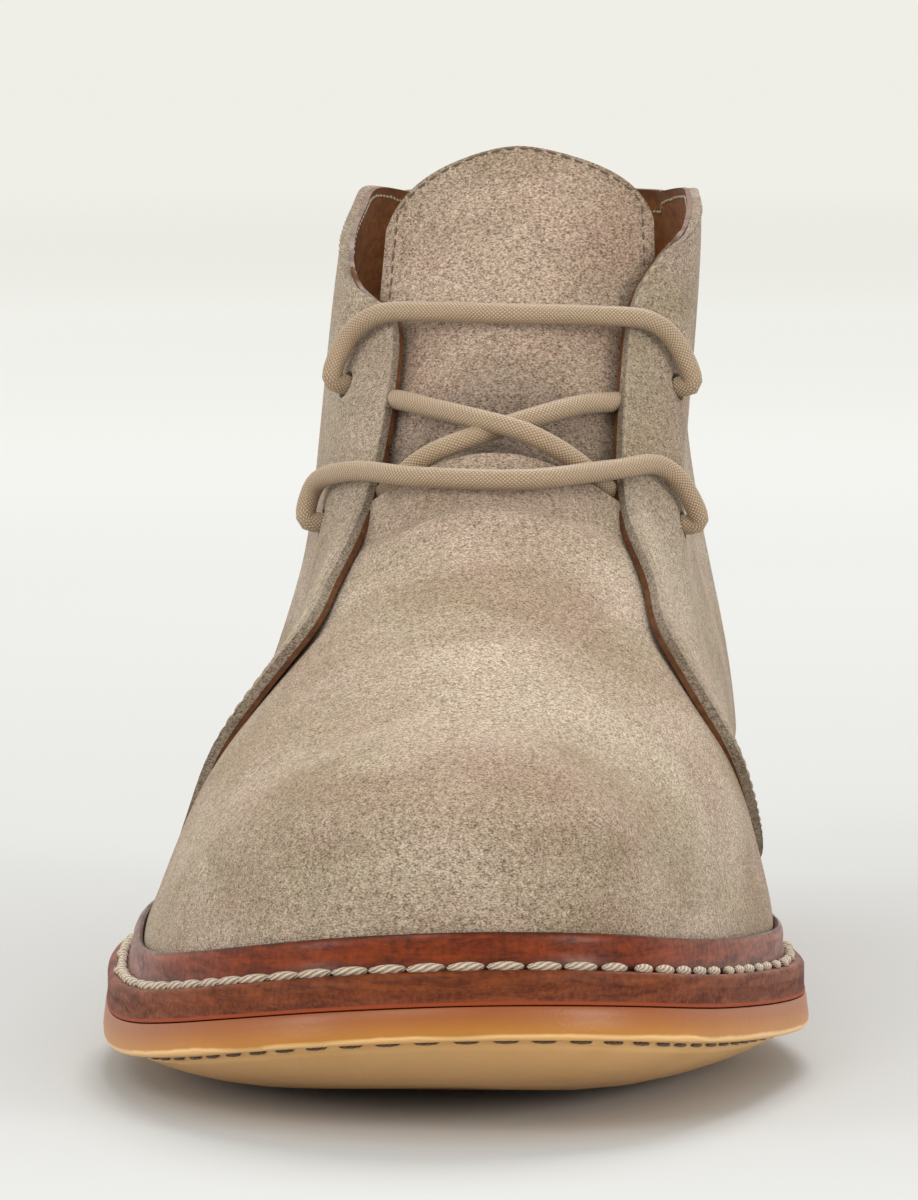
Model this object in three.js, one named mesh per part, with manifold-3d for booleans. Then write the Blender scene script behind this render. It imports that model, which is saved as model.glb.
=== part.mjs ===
// A right chukka boot in suede on a welted leather and rubber sole, in millimetres.
// The toe points to -Y, the inner (medial) side is +X, the floor is z = 0.
import * as THREE from 'three';
import { mergeVertices } from 'three/addons/utils/BufferGeometryUtils.js';
import Module from 'manifold-3d';

const wasm = await Module();
wasm.setup();

// Sole
const soleLength = 300;
const ballWidth = 111;
const heelWidth = 77;
const toeSpring = 10.2;
const heelRise = 14;
const outsoleThickness = 7.2;
const outsoleSide = 4.5;
const midsoleThickness = 2.8;
const weltThickness = 2.2;
const heelPieceThickness = 6;
const plateCamber = 4;
const camberReach = 26;
const evenRim = 6;
const seatGap = 0.3;

// Upper
const upperHeight = 125;
const upperWall = 1.8;
const quarterRise = 1.3;
const quarterStandOff = 1.6;
const randHeight = 4.3;
const randThickness = 1.7;
const insoleThickness = 2.5;
const tongueThickness = 2.6;
const tongueWidth = 62;
const laceDiameter = 3.3;
const eyeletDiameter = 4.6;

// The sole's outline, toe to heel: along is a share of the sole's length from its middle, lateral and medial
// are shares of the width there, welt is how far the sole stands out past the upper, in shares of the ball
// width.
const outlineRows = [
  { along: -0.5, lateral: -0.045, medial: 0.045, welt: 0.057 },
  { along: -0.488, lateral: 0.117, medial: 0.19, welt: 0.057 },
  { along: -0.46, lateral: 0.234, medial: 0.297, welt: 0.057 },
  { along: -0.42, lateral: 0.327, medial: 0.365, welt: 0.057 },
  { along: -0.36, lateral: 0.41, medial: 0.423, welt: 0.057 },
  { along: -0.29, lateral: 0.467, medial: 0.4685, welt: 0.057 },
  { along: -0.21, lateral: 0.4955, medial: 0.499, welt: 0.057 },
  { along: -0.13, lateral: 0.502, medial: 0.4805, welt: 0.055 },
  { along: -0.05, lateral: 0.493, medial: 0.4455, welt: 0.049 },
  { along: 0.03, lateral: 0.47, medial: 0.414, welt: 0.04 },
  { along: 0.1, lateral: 0.4656, medial: 0.432, welt: 0.034 },
  { along: 0.18, lateral: 0.469, medial: 0.476, welt: 0.031 },
  { along: 0.27, lateral: 0.474, medial: 0.526, welt: 0.029 },
  { along: 0.36, lateral: 0.4545, medial: 0.5325, welt: 0.028 },
  { along: 0.42, lateral: 0.39, medial: 0.48, welt: 0.028 },
  { along: 0.46, lateral: 0.286, medial: 0.383, welt: 0.028 },
  { along: 0.485, lateral: 0.162, medial: 0.26, welt: 0.028 },
  { along: 0.5, lateral: -0.045, medial: 0.045, welt: 0.028 },
];

// The middle of the foot, toe to heel. spine is how far it lies from the centre line, in shares of the ball
// width; ridge is the height of the top of the foot over the floor, in shares of the upper's height.
const lastRows = [
  { along: -0.5, spine: 0.022, ridge: 0.462 },
  { along: -0.36, spine: 0.022, ridge: 0.462 },
  { along: -0.29, spine: 0.024, ridge: 0.508 },
  { along: -0.21, spine: 0.027, ridge: 0.573 },
  { along: -0.13, spine: 0.031, ridge: 0.658 },
  { along: -0.05, spine: 0.04, ridge: 0.8 },
  { along: 0.03, spine: 0.049, ridge: 1.023 },
  { along: 0.1, spine: 0.049, ridge: 1.254 },
  { along: 0.18, spine: 0.045, ridge: 1.292 },
  { along: 0.27, spine: 0.04, ridge: 1.292 },
  { along: 0.36, spine: 0.036, ridge: 1.292 },
  { along: 0.5, spine: 0.036, ridge: 1.292 },
];

// The last's walls. bulge, shoulder and top are distances from the spine in shares of the feather line's;
// bulgeUp, shoulderUp and topUp are the heights there in shares of the wall's own.
const lateralWallRows = [
  { along: -0.5, bulge: 1.01, bulgeUp: 0.25, shoulder: 0.87, shoulderUp: 0.68, top: 0.5, topUp: 0.88 },
  { along: -0.36, bulge: 1.0, bulgeUp: 0.2, shoulder: 0.83, shoulderUp: 0.62, top: 0.47, topUp: 0.9 },
  { along: -0.29, bulge: 0.985, bulgeUp: 0.17, shoulder: 0.81, shoulderUp: 0.58, top: 0.47, topUp: 0.87 },
  { along: -0.21, bulge: 0.975, bulgeUp: 0.14, shoulder: 0.775, shoulderUp: 0.56, top: 0.445, topUp: 0.855 },
  { along: -0.13, bulge: 0.975, bulgeUp: 0.12, shoulder: 0.695, shoulderUp: 0.545, top: 0.435, topUp: 0.833 },
  { along: -0.05, bulge: 0.985, bulgeUp: 0.1, shoulder: 0.645, shoulderUp: 0.507, top: 0.485, topUp: 0.776 },
  { along: 0.03, bulge: 0.98, bulgeUp: 0.11, shoulder: 0.69, shoulderUp: 0.496, top: 0.52, topUp: 0.796 },
  { along: 0.1, bulge: 0.99, bulgeUp: 0.11, shoulder: 0.79, shoulderUp: 0.366, top: 0.57, topUp: 0.86 },
  { along: 0.18, bulge: 1.01, bulgeUp: 0.127, shoulder: 0.835, shoulderUp: 0.394, top: 0.62, topUp: 0.835 },
  { along: 0.27, bulge: 1.026, bulgeUp: 0.149, shoulder: 0.86, shoulderUp: 0.418, top: 0.655, topUp: 0.825 },
  { along: 0.36, bulge: 1.022, bulgeUp: 0.16, shoulder: 0.83, shoulderUp: 0.43, top: 0.58, topUp: 0.812 },
  { along: 0.5, bulge: 1.01, bulgeUp: 0.16, shoulder: 0.885, shoulderUp: 0.43, top: 0.83, topUp: 0.8 },
];
const medialWallRows = [
  { along: -0.5, bulge: 1.01, bulgeUp: 0.25, shoulder: 0.87, shoulderUp: 0.68, top: 0.5, topUp: 0.88 },
  { along: -0.36, bulge: 1.0, bulgeUp: 0.22, shoulder: 0.85, shoulderUp: 0.64, top: 0.485, topUp: 0.91 },
  { along: -0.29, bulge: 1.0, bulgeUp: 0.19, shoulder: 0.84, shoulderUp: 0.61, top: 0.5, topUp: 0.89 },
  { along: -0.21, bulge: 1.0, bulgeUp: 0.16, shoulder: 0.835, shoulderUp: 0.58, top: 0.505, topUp: 0.87 },
  { along: -0.13, bulge: 1.0, bulgeUp: 0.2, shoulder: 0.825, shoulderUp: 0.57, top: 0.505, topUp: 0.87 },
  { along: -0.05, bulge: 1.02, bulgeUp: 0.22, shoulder: 0.84, shoulderUp: 0.552, top: 0.64, topUp: 0.776 },
  { along: 0.03, bulge: 1.08, bulgeUp: 0.177, shoulder: 0.86, shoulderUp: 0.496, top: 0.79, topUp: 0.796 },
  { along: 0.1, bulge: 1.1, bulgeUp: 0.153, shoulder: 0.86, shoulderUp: 0.395, top: 0.89, topUp: 0.86 },
  { along: 0.18, bulge: 1.06, bulgeUp: 0.155, shoulder: 0.82, shoulderUp: 0.408, top: 0.85, topUp: 0.835 },
  { along: 0.27, bulge: 0.955, bulgeUp: 0.163, shoulder: 0.745, shoulderUp: 0.418, top: 0.755, topUp: 0.825 },
  { along: 0.36, bulge: 0.935, bulgeUp: 0.16, shoulder: 0.735, shoulderUp: 0.43, top: 0.6, topUp: 0.812 },
  { along: 0.5, bulge: 1.01, bulgeUp: 0.16, shoulder: 0.885, shoulderUp: 0.43, top: 0.83, topUp: 0.8 },
];
const wallMarkNames = ['bulge', 'shoulder', 'top'];

// The edge of the throat and collar behind the vamp: height over the floor in shares of the upper's height.
const openingRows = [
  { along: -0.058, height: 0.678 },
  { along: -0.033, height: 0.738 },
  { along: -0.01, height: 0.8 },
  { along: 0.027, height: 0.908 },
  { along: 0.055, height: 0.975 },
  { along: 0.08, height: 1.008 },
  { along: 0.11, height: 1.03 },
  { along: 0.18, height: 1.045 },
  { along: 0.27, height: 1.045 },
  { along: 0.36, height: 1.03 },
  { along: 0.5, height: 1.02 },
];
const apexAlong = -0.0765;
const notchAlong = -0.058;

// The quarter's front edge, from the rand up to the throat: height in shares of the upper's height.
const quarterEdgeRows = [
  { along: 0, height: 0.165, standOff: 0 },
  { along: -0.06, height: 0.2, standOff: 0 },
  { along: -0.115, height: 0.25, standOff: 0 },
  { along: -0.153, height: 0.305, standOff: 0.1 },
  { along: -0.178, height: 0.362, standOff: 0.35 },
  { along: -0.191, height: 0.43, standOff: 0.7 },
  { along: -0.17, height: 0.508, standOff: 1 },
  { along: -0.12, height: 0.58, standOff: 1 },
  { along: -0.083, height: 0.638, standOff: 0.7 },
];

// The tongue, from its sewn end to its rounded top: halfWidth in shares of the tongue's width.
const tongueRows = [
  { along: -0.13, halfWidth: 0.3, sweep: 0.004 },
  { along: -0.08, halfWidth: 0.36, sweep: 0.006 },
  { along: -0.04, halfWidth: 0.4, sweep: 0.008 },
  { along: 0, halfWidth: 0.42, sweep: 0.01 },
  { along: 0.03, halfWidth: 0.395, sweep: 0.014 },
  { along: 0.05, halfWidth: 0.375, sweep: 0.017 },
  { along: 0.0605, halfWidth: 0.35, sweep: 0.018 },
];

// The lace, each row a point of its middle line: x in shares of the ball width, height in shares of the upper's
// height, lift in millimetres over the last. The two bars run on to the eyelets at their ends.
const laceTopRows = [
  { x: -0.172, height: 0.862, lift: 3.9 },
  { x: -0.132, height: 0.892, lift: 3.8 },
  { x: -0.062, height: 0.908, lift: 1 },
  { x: 0.05, height: 0.911, lift: 0.2 },
  { x: 0.165, height: 0.904, lift: 1 },
  { x: 0.232, height: 0.886, lift: 3.9 },
  { x: 0.262, height: 0.86, lift: 4 },
];
const laceBottomRows = [
  { x: -0.205, height: 0.68, lift: 4.3 },
  { x: -0.155, height: 0.696, lift: 4.5 },
  { x: -0.06, height: 0.698, lift: 2.9 },
  { x: 0.075, height: 0.7, lift: 2.3 },
  { x: 0.19, height: 0.706, lift: 2.9 },
  { x: 0.245, height: 0.707, lift: 4 },
  { x: 0.272, height: 0.688, lift: 4.1 },
];
const laceOverRows = [
  { x: -0.108, height: 0.8, lift: 0.4 },
  { x: -0.06, height: 0.792, lift: 0.6 },
  { x: 0.01, height: 0.776, lift: 1.6 },
  { x: 0.07, height: 0.757, lift: 2.4 },
  { x: 0.125, height: 0.736, lift: 2.8 },
  { x: 0.18, height: 0.718, lift: 2.8 },
];
const laceUnderRows = [
  { x: 0.188, height: 0.8, lift: 0.4 },
  { x: 0.155, height: 0.797, lift: 0.4 },
  { x: 0.095, height: 0.785, lift: 0.5 },
  { x: -0.015, height: 0.752, lift: 2.1 },
  { x: -0.06, height: 0.732, lift: 2.4 },
  { x: -0.1, height: 0.713, lift: 2.8 },
];
const eyelets = [
  { along: 0.028, height: 0.811 },
  { along: -0.02, height: 0.641 },
];

const lastStation = outlineRows.length - 1;
const fanStart = 0.36;

// Reads a column of a table at any place along the boot, with a smooth curve through its rows.
function readTable(rows, pick, along) {
  const end = rows.length - 1;
  if (along <= rows[0].along) {
    return pick(rows[0]);
  }
  if (along >= rows[end].along) {
    return pick(rows[end]);
  }
  let i = 0;
  while (rows[i + 1].along < along) {
    i += 1;
  }
  const slope = (k) => {
    const before = rows[Math.max(k - 1, 0)];
    const after = rows[Math.min(k + 1, end)];
    return (pick(after) - pick(before)) / (after.along - before.along);
  };
  const span = rows[i + 1].along - rows[i].along;
  const t = (along - rows[i].along) / span;
  const rise = pick(rows[i + 1]) - pick(rows[i]);
  const a = slope(i) * span - rise;
  const b = rise - slope(i + 1) * span;
  return pick(rows[i]) + rise * t + t * (1 - t) * (a * (1 - t) + b * t);
}

function smoothRise(value, from, to) {
  return THREE.MathUtils.smoothstep(value, from, to);
}

// The underside of the sole along its middle: flat at the ball, sprung at the toe, raised to the heel.
const ballFlatFront = -0.215 * soleLength;
const ballFlatBack = -0.09 * soleLength;
const breastLine = 0.205 * soleLength;
const seatSlope = 0.012;

function groundLine(y) {
  if (y < ballFlatFront) {
    const t = (ballFlatFront - y) / (ballFlatFront + soleLength / 2);
    return toeSpring * t ** 1.9;
  }
  if (y > breastLine) {
    return heelRise + seatSlope * (y - breastLine);
  }
  return heelRise * smoothRise(y, ballFlatBack, breastLine);
}

// The sole's outline is one closed curve through the table, lateral side first.
function outlineWidth(along) {
  return THREE.MathUtils.lerp(ballWidth, heelWidth, smoothRise(along, -0.17, 0.3));
}

const lateralMarks = outlineRows.map((row) => new THREE.Vector3(
  -row.lateral * outlineWidth(row.along), row.along * soleLength, 0));
const medialMarks = outlineRows.slice(1, -1).reverse().map((row) => new THREE.Vector3(
  row.medial * outlineWidth(row.along), row.along * soleLength, 0));
const outlineCurve = new THREE.CatmullRomCurve3([...lateralMarks, ...medialMarks], true, 'catmullrom', 0.5);

function outlinePoint(side, station) {
  const turn = station / (2 * lastStation);
  return outlineCurve.getPoint(side < 0 ? turn : 1 - turn);
}

// Stations run toe to heel down each side, closer together at the throat.
function makeStations() {
  const stations = [0, 0.35, 0.75, 1.2, 1.7, 2.3, 3, 3.6, 4.2, 4.8, 5.4, 6, 6.5, 7, 7.3];
  stations.push(7.5, 7.65, 7.76, 7.84, 7.92, 8.1, 8.3, 8.5, 8.75, 9, 9.3, 9.6, 9.9, 10.3);
  stations.push(10.8, 11.4, 12, 12.6, 13.1, 13.6, 14.1, 14.6, 15.1, 15.7, 16.3, 17);
  return stations;
}
const stations = makeStations();

// A loop goes down the lateral side and back up the medial side; the two tips are shared.
function loopThrough(list) {
  return [
    ...list.map((station) => ({ side: -1, station })),
    ...list.slice(1, -1).reverse().map((station) => ({ side: 1, station })),
  ];
}
const loop = loopThrough(stations);

function spinePoint(point) {
  const limit = fanStart * soleLength;
  const y = THREE.MathUtils.clamp(point.y, -limit, limit);
  const x = readTable(lastRows, (row) => row.spine, y / soleLength) * ballWidth;
  return new THREE.Vector3(x, y, 0);
}

// A place's position along the table: in the toe and heel fans it follows the angle of the spoke.
function alongOf(point) {
  const share = point.y / soleLength;
  if (Math.abs(share) <= fanStart) {
    return share;
  }
  const spoke = point.clone().sub(spinePoint(point)).normalize();
  const turn = Math.asin(Math.abs(spoke.y)) / (Math.PI / 2);
  return Math.sign(share) * (fanStart + (0.5 - fanStart) * turn);
}

const deepestShare = 0.92;

function inset(side, station, depth) {
  const edge = outlinePoint(side, station);
  const spoke = spinePoint(edge).sub(edge);
  const reach = Math.min(depth, spoke.length() * deepestShare);
  return edge.add(spoke.setLength(reach));
}

// How much the sole's edge is lifted over its middle; the heel seat is flat.
function edgeLift(y, depth) {
  const frontShare = 1 - smoothRise(y, 0, breastLine * 0.8);
  return frontShare * Math.max(0, 1 - depth / camberReach) ** 2.5;
}

// Within evenRim of the edge a plate doesn't fall away along its spoke.
function platePoint(place, depth, level, camber) {
  const point = inset(place.side, place.station, depth);
  const fallDepth = Math.max(depth - evenRim, 0);
  const fallPoint = inset(place.side, place.station, fallDepth);
  point.z = groundLine(fallPoint.y) + level + camber * edgeLift(fallPoint.y, fallDepth);
  return point;
}

// Builds a closed mesh from loops of equal length. Capped ends are filled across from side to side. A row that
// runs outward is split the other way, so the faces of two neighbours match.
function meshFromLoops(loops, capped, pairShift = 0) {
  const count = loops[0].length;
  const positions = [];
  const faces = [];
  loops.forEach((points) => points.forEach((point) => positions.push(point.x, point.y, point.z)));
  const rows = capped ? loops.length - 1 : loops.length;
  for (let row = 0; row < rows; row += 1) {
    const rowAbove = (row + 1) % loops.length;
    const below = row * count;
    const above = rowAbove * count;
    const outward = loops[rowAbove][0].y < loops[row][0].y;
    for (let i = 0; i < count; i += 1) {
      const next = (i + 1) % count;
      if (outward) {
        faces.push(below + i, above + i, below + next);
        faces.push(below + next, above + i, above + next);
      } else {
        faces.push(below + i, above + next, below + next);
        faces.push(below + i, above + i, above + next);
      }
    }
  }
  if (capped) {
    capAcross(faces, 0, count, true, pairShift);
    capAcross(faces, (loops.length - 1) * count, count, false, pairShift);
  }
  return geometryFrom(positions, faces);
}

// A place i on the lateral side faces place count - pairShift - i on the medial side.
function capAcross(faces, start, count, facesDown, pairShift) {
  const half = Math.floor((count - pairShift) / 2);
  for (let i = 0; i < half; i += 1) {
    const left = start + i;
    const leftNext = start + i + 1;
    const right = start + ((count - pairShift - i) % count);
    const rightNext = start + (count - pairShift - i - 1);
    const quads = [[left, right, rightNext], [left, rightNext, leftNext]];
    quads.forEach(([a, b, c]) => faces.push(...(facesDown ? [a, c, b] : [a, b, c])));
  }
}

function geometryFrom(positions, faces) {
  const raw = new THREE.BufferGeometry();
  raw.setAttribute('position', new THREE.Float32BufferAttribute(positions, 3));
  raw.setIndex(faces);
  const merged = mergeVertices(raw, 1e-3);
  const kept = [];
  const index = merged.getIndex().array;
  for (let i = 0; i < index.length; i += 3) {
    const [a, b, c] = [index[i], index[i + 1], index[i + 2]];
    if (a !== b && b !== c && c !== a) {
      kept.push(a, b, c);
    }
  }
  merged.setIndex(kept);
  return merged;
}

function loopOf(pointAt) {
  return plateLoop.map(pointAt);
}

// Sole plates. Every plate has the same rings, so neighbours stay parallel.
const plateStations = [0, 0.4, 0.9, 1.5, 2.2, 3, 3.9, 4.8, 5.5, 6, 6.6, 7.2, 7.6, 8, 8.5, 9, 9.5, 10];
plateStations.push(10.6, 11.2, 11.8, 12.6, 13.4, 14.1, 14.8, 15.5, 16.2, lastStation);
const plateLoop = loopThrough(plateStations);
const ringDepths = [5.5, 13, 20, 28];

function plate(low, high, edge) {
  const under = ringDepths.slice().reverse().map((depth) => loopOf(
    (place) => platePoint(place, depth, low.level, low.camber)));
  const side = edge.map(({ depth, level, camber }) => loopOf(
    (place) => platePoint(place, depth, level, camber)));
  const over = ringDepths.map((depth) => loopOf(
    (place) => platePoint(place, depth, high.level, high.camber)));
  return meshFromLoops([...under, ...side, ...over], true);
}

const outsoleCamber = plateCamber + outsoleThickness - outsoleSide;

function outsoleGeometry() {
  const low = { level: 0, camber: outsoleCamber };
  const high = { level: outsoleThickness, camber: plateCamber };
  const edge = [
    { depth: 1.3, level: 0.1, camber: outsoleCamber },
    { depth: 0.1, level: 1.3, camber: outsoleCamber },
    { depth: 0.5, level: outsoleThickness, camber: plateCamber },
  ];
  return plate(low, high, edge);
}

const midsoleLevel = outsoleThickness + seatGap;

function midsoleGeometry() {
  const top = midsoleLevel + midsoleThickness;
  const edge = [
    { depth: 1.1, level: midsoleLevel, camber: plateCamber },
    { depth: 0.9, level: midsoleLevel + midsoleThickness / 2, camber: plateCamber },
    { depth: 1.1, level: top, camber: plateCamber },
  ];
  return plate({ level: midsoleLevel, camber: plateCamber }, { level: top, camber: plateCamber }, edge);
}

const weltLevel = midsoleLevel + midsoleThickness + seatGap;
const weltTop = weltLevel + weltThickness;
const weltInner = 13;

function weltGeometry() {
  const rings = [
    { depth: 1.1, level: weltLevel },
    { depth: 0.9, level: weltTop - 0.6 },
    { depth: 1.5, level: weltTop },
    { depth: 5.5, level: weltTop },
    { depth: weltInner, level: weltTop },
    { depth: weltInner, level: weltLevel },
    { depth: 5.5, level: weltLevel },
  ];
  return meshFromLoops(rings.map(({ depth, level }) => loopOf(
    (place) => platePoint(place, depth, level, plateCamber))), false);
}

// The last. A wall curve stands on each spoke of the outline, from the feather line up to the ridge.
function weltReach(place) {
  const edge = outlinePoint(place.side, place.station);
  return readTable(outlineRows, (row) => row.welt, alongOf(edge)) * ballWidth;
}

const featherLevel = weltTop + seatGap;

function ridgeHeight(along) {
  return readTable(lastRows, (row) => row.ridge, along) * upperHeight;
}

function wallMarks(place) {
  const foot = platePoint(place, weltReach(place), featherLevel, plateCamber);
  const spine = spinePoint(foot);
  const spoke = new THREE.Vector3(foot.x - spine.x, foot.y - spine.y, 0);
  const radius = spoke.length();
  spoke.normalize();
  const along = alongOf(foot);
  const rows = place.side < 0 ? lateralWallRows : medialWallRows;
  const ridge = ridgeHeight(spine.y / soleLength);
  const rise = ridge - foot.z;
  const marks = [new THREE.Vector2(radius, 0)];
  wallMarkNames.forEach((name) => {
    const out = readTable(rows, (row) => row[name], along);
    const up = readTable(rows, (row) => row[`${name}Up`], along);
    marks.push(new THREE.Vector2(out * radius, up * rise));
  });
  marks.push(new THREE.Vector2(0, rise));
  const top = marks[3];
  const beyond = ridgeHeight((spine.y - spoke.y * top.x) / soleLength) - ridge;
  const far = new THREE.Vector2(-top.x, rise + beyond - (rise - top.y) * Math.abs(spoke.x));
  const near = new THREE.Vector2(2 * radius - marks[1].x, -marks[1].y);
  return { foot, spine, spoke, marks: [near, ...marks, far] };
}

function curveValue(p, t) {
  const [a, b, c, d] = p;
  return b + 0.5 * t * (c - a + t * (2 * a - 5 * b + 4 * c - d + t * (3 * (b - c) + d - a)));
}

// A wall curve's point at up, from 0 at the feather line to 1 at the ridge.
function wallPoint(wall, up) {
  const scaled = THREE.MathUtils.clamp(up, 0, 1) * 4;
  const piece = Math.min(Math.floor(scaled), 3);
  const t = scaled - piece;
  const four = wall.marks.slice(piece, piece + 4);
  const out = curveValue(four.map((mark) => mark.x), t);
  const height = curveValue(four.map((mark) => mark.y), t);
  return new THREE.Vector3(
    wall.spine.x + wall.spoke.x * out, wall.spine.y + wall.spoke.y * out, wall.foot.z + height);
}

const wallCache = new Map();

function wallAt(side, station) {
  const key = `${side}/${station.toFixed(5)}`;
  if (!wallCache.has(key)) {
    wallCache.set(key, wallMarks({ side, station }));
  }
  return wallCache.get(key);
}

// The last's surface with its outward normal; offset moves the point along that normal.
function lastPoint(side, station, up, offset) {
  const step = 0.02;
  const point = wallPoint(wallAt(side, station), up);
  const fore = wallPoint(wallAt(side, Math.max(station - step, 0)), up);
  const aft = wallPoint(wallAt(side, Math.min(station + step, lastStation)), up);
  const lower = wallPoint(wallAt(side, station), up - step);
  const upper = wallPoint(wallAt(side, station), up + step);
  const alongTangent = aft.sub(fore);
  const upTangent = upper.sub(lower);
  if (station === 0 || station === lastStation) {
    alongTangent.set(-side, 0, 0);
    alongTangent.multiplyScalar(station === 0 ? -1 : 1);
  }
  if (up > 0.9999) {
    return point.add(ridgeNormal(point.y).multiplyScalar(offset));
  }
  const normal = new THREE.Vector3().crossVectors(alongTangent, upTangent);
  if (side < 0) {
    normal.negate();
  }
  if (up < 0.0001) {
    normal.z = 0;
  }
  normal.normalize();
  return point.addScaledVector(normal, offset);
}

function ridgeNormal(y) {
  const step = 0.5;
  const slope = (ridgeHeight((y + step) / soleLength) - ridgeHeight((y - step) / soleLength)) / (2 * step);
  return new THREE.Vector3(0, -slope, 1).normalize();
}

// Finds a value between low and high where rising reaches target.
function solve(rising, target, low, high) {
  let a = low;
  let b = high;
  for (let i = 0; i < 30; i += 1) {
    const middle = (a + b) / 2;
    if (rising(middle) < target) {
      a = middle;
    } else {
      b = middle;
    }
  }
  return (a + b) / 2;
}

function upAtHeight(side, station, height) {
  return solve((up) => wallPoint(wallAt(side, station), up).z, height, 0, 1);
}

function stationAt(side, along) {
  return solve((station) => outlinePoint(side, station).y, along * soleLength, 0, lastStation);
}

// How far up each wall curve the upper's edge lies; 1 where the vamp closes over the foot.
function openingUp(side, station) {
  const wall = wallAt(side, station);
  const along = alongOf(wall.foot);
  if (along <= apexAlong) {
    return 1;
  }
  const edge = upAtHeight(side, station, readTable(openingRows, (row) => row.height, along) * upperHeight);
  if (along >= notchAlong) {
    return edge;
  }
  const share = (along - apexAlong) / (notchAlong - apexAlong);
  return 1 - (1 - edge) * share ** 0.6;
}

// The wall of the upper: one sheet of two skins, joined round its edges.
const wallSteps = 12;
const liningRetreat = 0.005;

function baseEdge(place) {
  const edge = openingUp(place.side, place.station);
  return edge < 1 ? edge - liningRetreat : edge;
}

function upperShell() {
  const positions = [];
  const faces = [];
  const layer = loop.length * (wallSteps + 1);
  const closed = [];
  [0, -upperWall].forEach((offset) => {
    loop.forEach((place, i) => {
      const edge = baseEdge(place);
      closed[i] = edge === 1;
      for (let step = 0; step <= wallSteps; step += 1) {
        const point = lastPoint(place.side, place.station, edge * (step / wallSteps), offset);
        positions.push(point.x, point.y, point.z);
      }
    });
  });
  const at = (i, step, skin) => skin * layer + (i % loop.length) * (wallSteps + 1) + step;
  const quad = (a, b, c, d) => faces.push(a, c, b, a, d, c);
  loop.forEach((place, i) => {
    for (let step = 0; step < wallSteps; step += 1) {
      quad(at(i, step, 0), at(i + 1, step, 0), at(i + 1, step + 1, 0), at(i, step + 1, 0));
      quad(at(i, step, 1), at(i, step + 1, 1), at(i + 1, step + 1, 1), at(i + 1, step, 1));
    }
    quad(at(i, 0, 0), at(i, 0, 1), at(i + 1, 0, 1), at(i + 1, 0, 0));
    if (!closed[i] || !closed[(i + 1) % loop.length]) {
      quad(at(i, wallSteps, 0), at(i + 1, wallSteps, 0), at(i + 1, wallSteps, 1), at(i, wallSteps, 1));
    }
  });
  return geometryFrom(positions, faces);
}

// The quarters lap over the vamp: a raised slab from one front edge round the heel to the other.
const quarterPlaces = [0, 0.035, 0.08, 0.14, 0.21, 0.3, 0.4, 0.5, 0.6, 0.7, 0.8, 0.88, 0.95, 1];
const quarterRows = 12;
const quarterFoot = randHeight + 0.9;
const stationLength = 24;
const freeFrom = 4;
const freeTo = 16;
const freeLeast = 0.05;
const throatEnd = 0.1;

const throatRows = openingRows.filter((row) => row.along < throatEnd).map((row) => ({ ...row, standOff: 0 }));
const quarterFront = new THREE.CatmullRomCurve3([...quarterEdgeRows, ...throatRows].map(
  (row) => new THREE.Vector3(row.along * soleLength, row.height * upperHeight, row.standOff),
), false, 'centripetal');

function quarterColumn(side, share) {
  const column = [];
  for (let row = 0; row <= quarterRows; row += 1) {
    const level = row / quarterRows;
    const mark = quarterFront.getPointAt(level);
    const front = stationAt(side, mark.x / soleLength);
    const frontFoot = upAtHeight(side, front, wallAt(side, front).foot.z + quarterFoot);
    const frontUp = Math.min(upAtHeight(side, front, mark.y), openingUp(side, front));
    const frontShare = (frontUp - frontFoot) / (openingUp(side, front) - frontFoot);
    const station = THREE.MathUtils.lerp(front, lastStation, share);
    const foot = upAtHeight(side, station, wallAt(side, station).foot.z + quarterFoot);
    const rise = THREE.MathUtils.lerp(Math.max(frontShare, 0), level, share ** 0.8);
    const up = THREE.MathUtils.lerp(foot, openingUp(side, station), rise);
    const loose = THREE.MathUtils.clamp(mark.z, 0, 1);
    const behind = (station - front) * stationLength;
    const free = loose * (1 - smoothRise(behind, freeFrom, freeTo));
    const outer = quarterRise + free * quarterStandOff;
    const inner = free > freeLeast ? seatGap + free * quarterStandOff : -upperWall * 0.55;
    column.push({ outer: lastPoint(side, station, up, outer), inner: lastPoint(side, station, up, inner) });
  }
  return column;
}

function quarterSlab() {
  const columns = [
    ...quarterPlaces.map((share) => quarterColumn(-1, share)),
    ...quarterPlaces.slice(0, -1).reverse().map((share) => quarterColumn(1, share)),
  ];
  return slabGeometry(columns);
}

// A slab from columns of outer and inner points, closed round its edges.
function slabGeometry(columns) {
  const rows = columns[0].length;
  const positions = [];
  const faces = [];
  ['outer', 'inner'].forEach((skin) => columns.forEach((column) => column.forEach((point) => {
    positions.push(point[skin].x, point[skin].y, point[skin].z);
  })));
  const at = (column, row, skin) => (skin * columns.length + column) * rows + row;
  const quad = (a, b, c, d) => faces.push(a, c, b, a, d, c);
  for (let i = 0; i < columns.length - 1; i += 1) {
    for (let j = 0; j < rows - 1; j += 1) {
      quad(at(i, j, 0), at(i + 1, j, 0), at(i + 1, j + 1, 0), at(i, j + 1, 0));
      quad(at(i, j, 1), at(i, j + 1, 1), at(i + 1, j + 1, 1), at(i + 1, j, 1));
    }
    quad(at(i, 0, 0), at(i, 0, 1), at(i + 1, 0, 1), at(i + 1, 0, 0));
    quad(at(i, rows - 1, 0), at(i + 1, rows - 1, 0), at(i + 1, rows - 1, 1), at(i, rows - 1, 1));
  }
  const end = columns.length - 1;
  for (let j = 0; j < rows - 1; j += 1) {
    quad(at(0, j, 0), at(0, j + 1, 0), at(0, j + 1, 1), at(0, j, 1));
    quad(at(end, j, 0), at(end, j, 1), at(end, j + 1, 1), at(end, j + 1, 0));
  }
  return geometryFrom(positions, faces);
}

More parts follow.
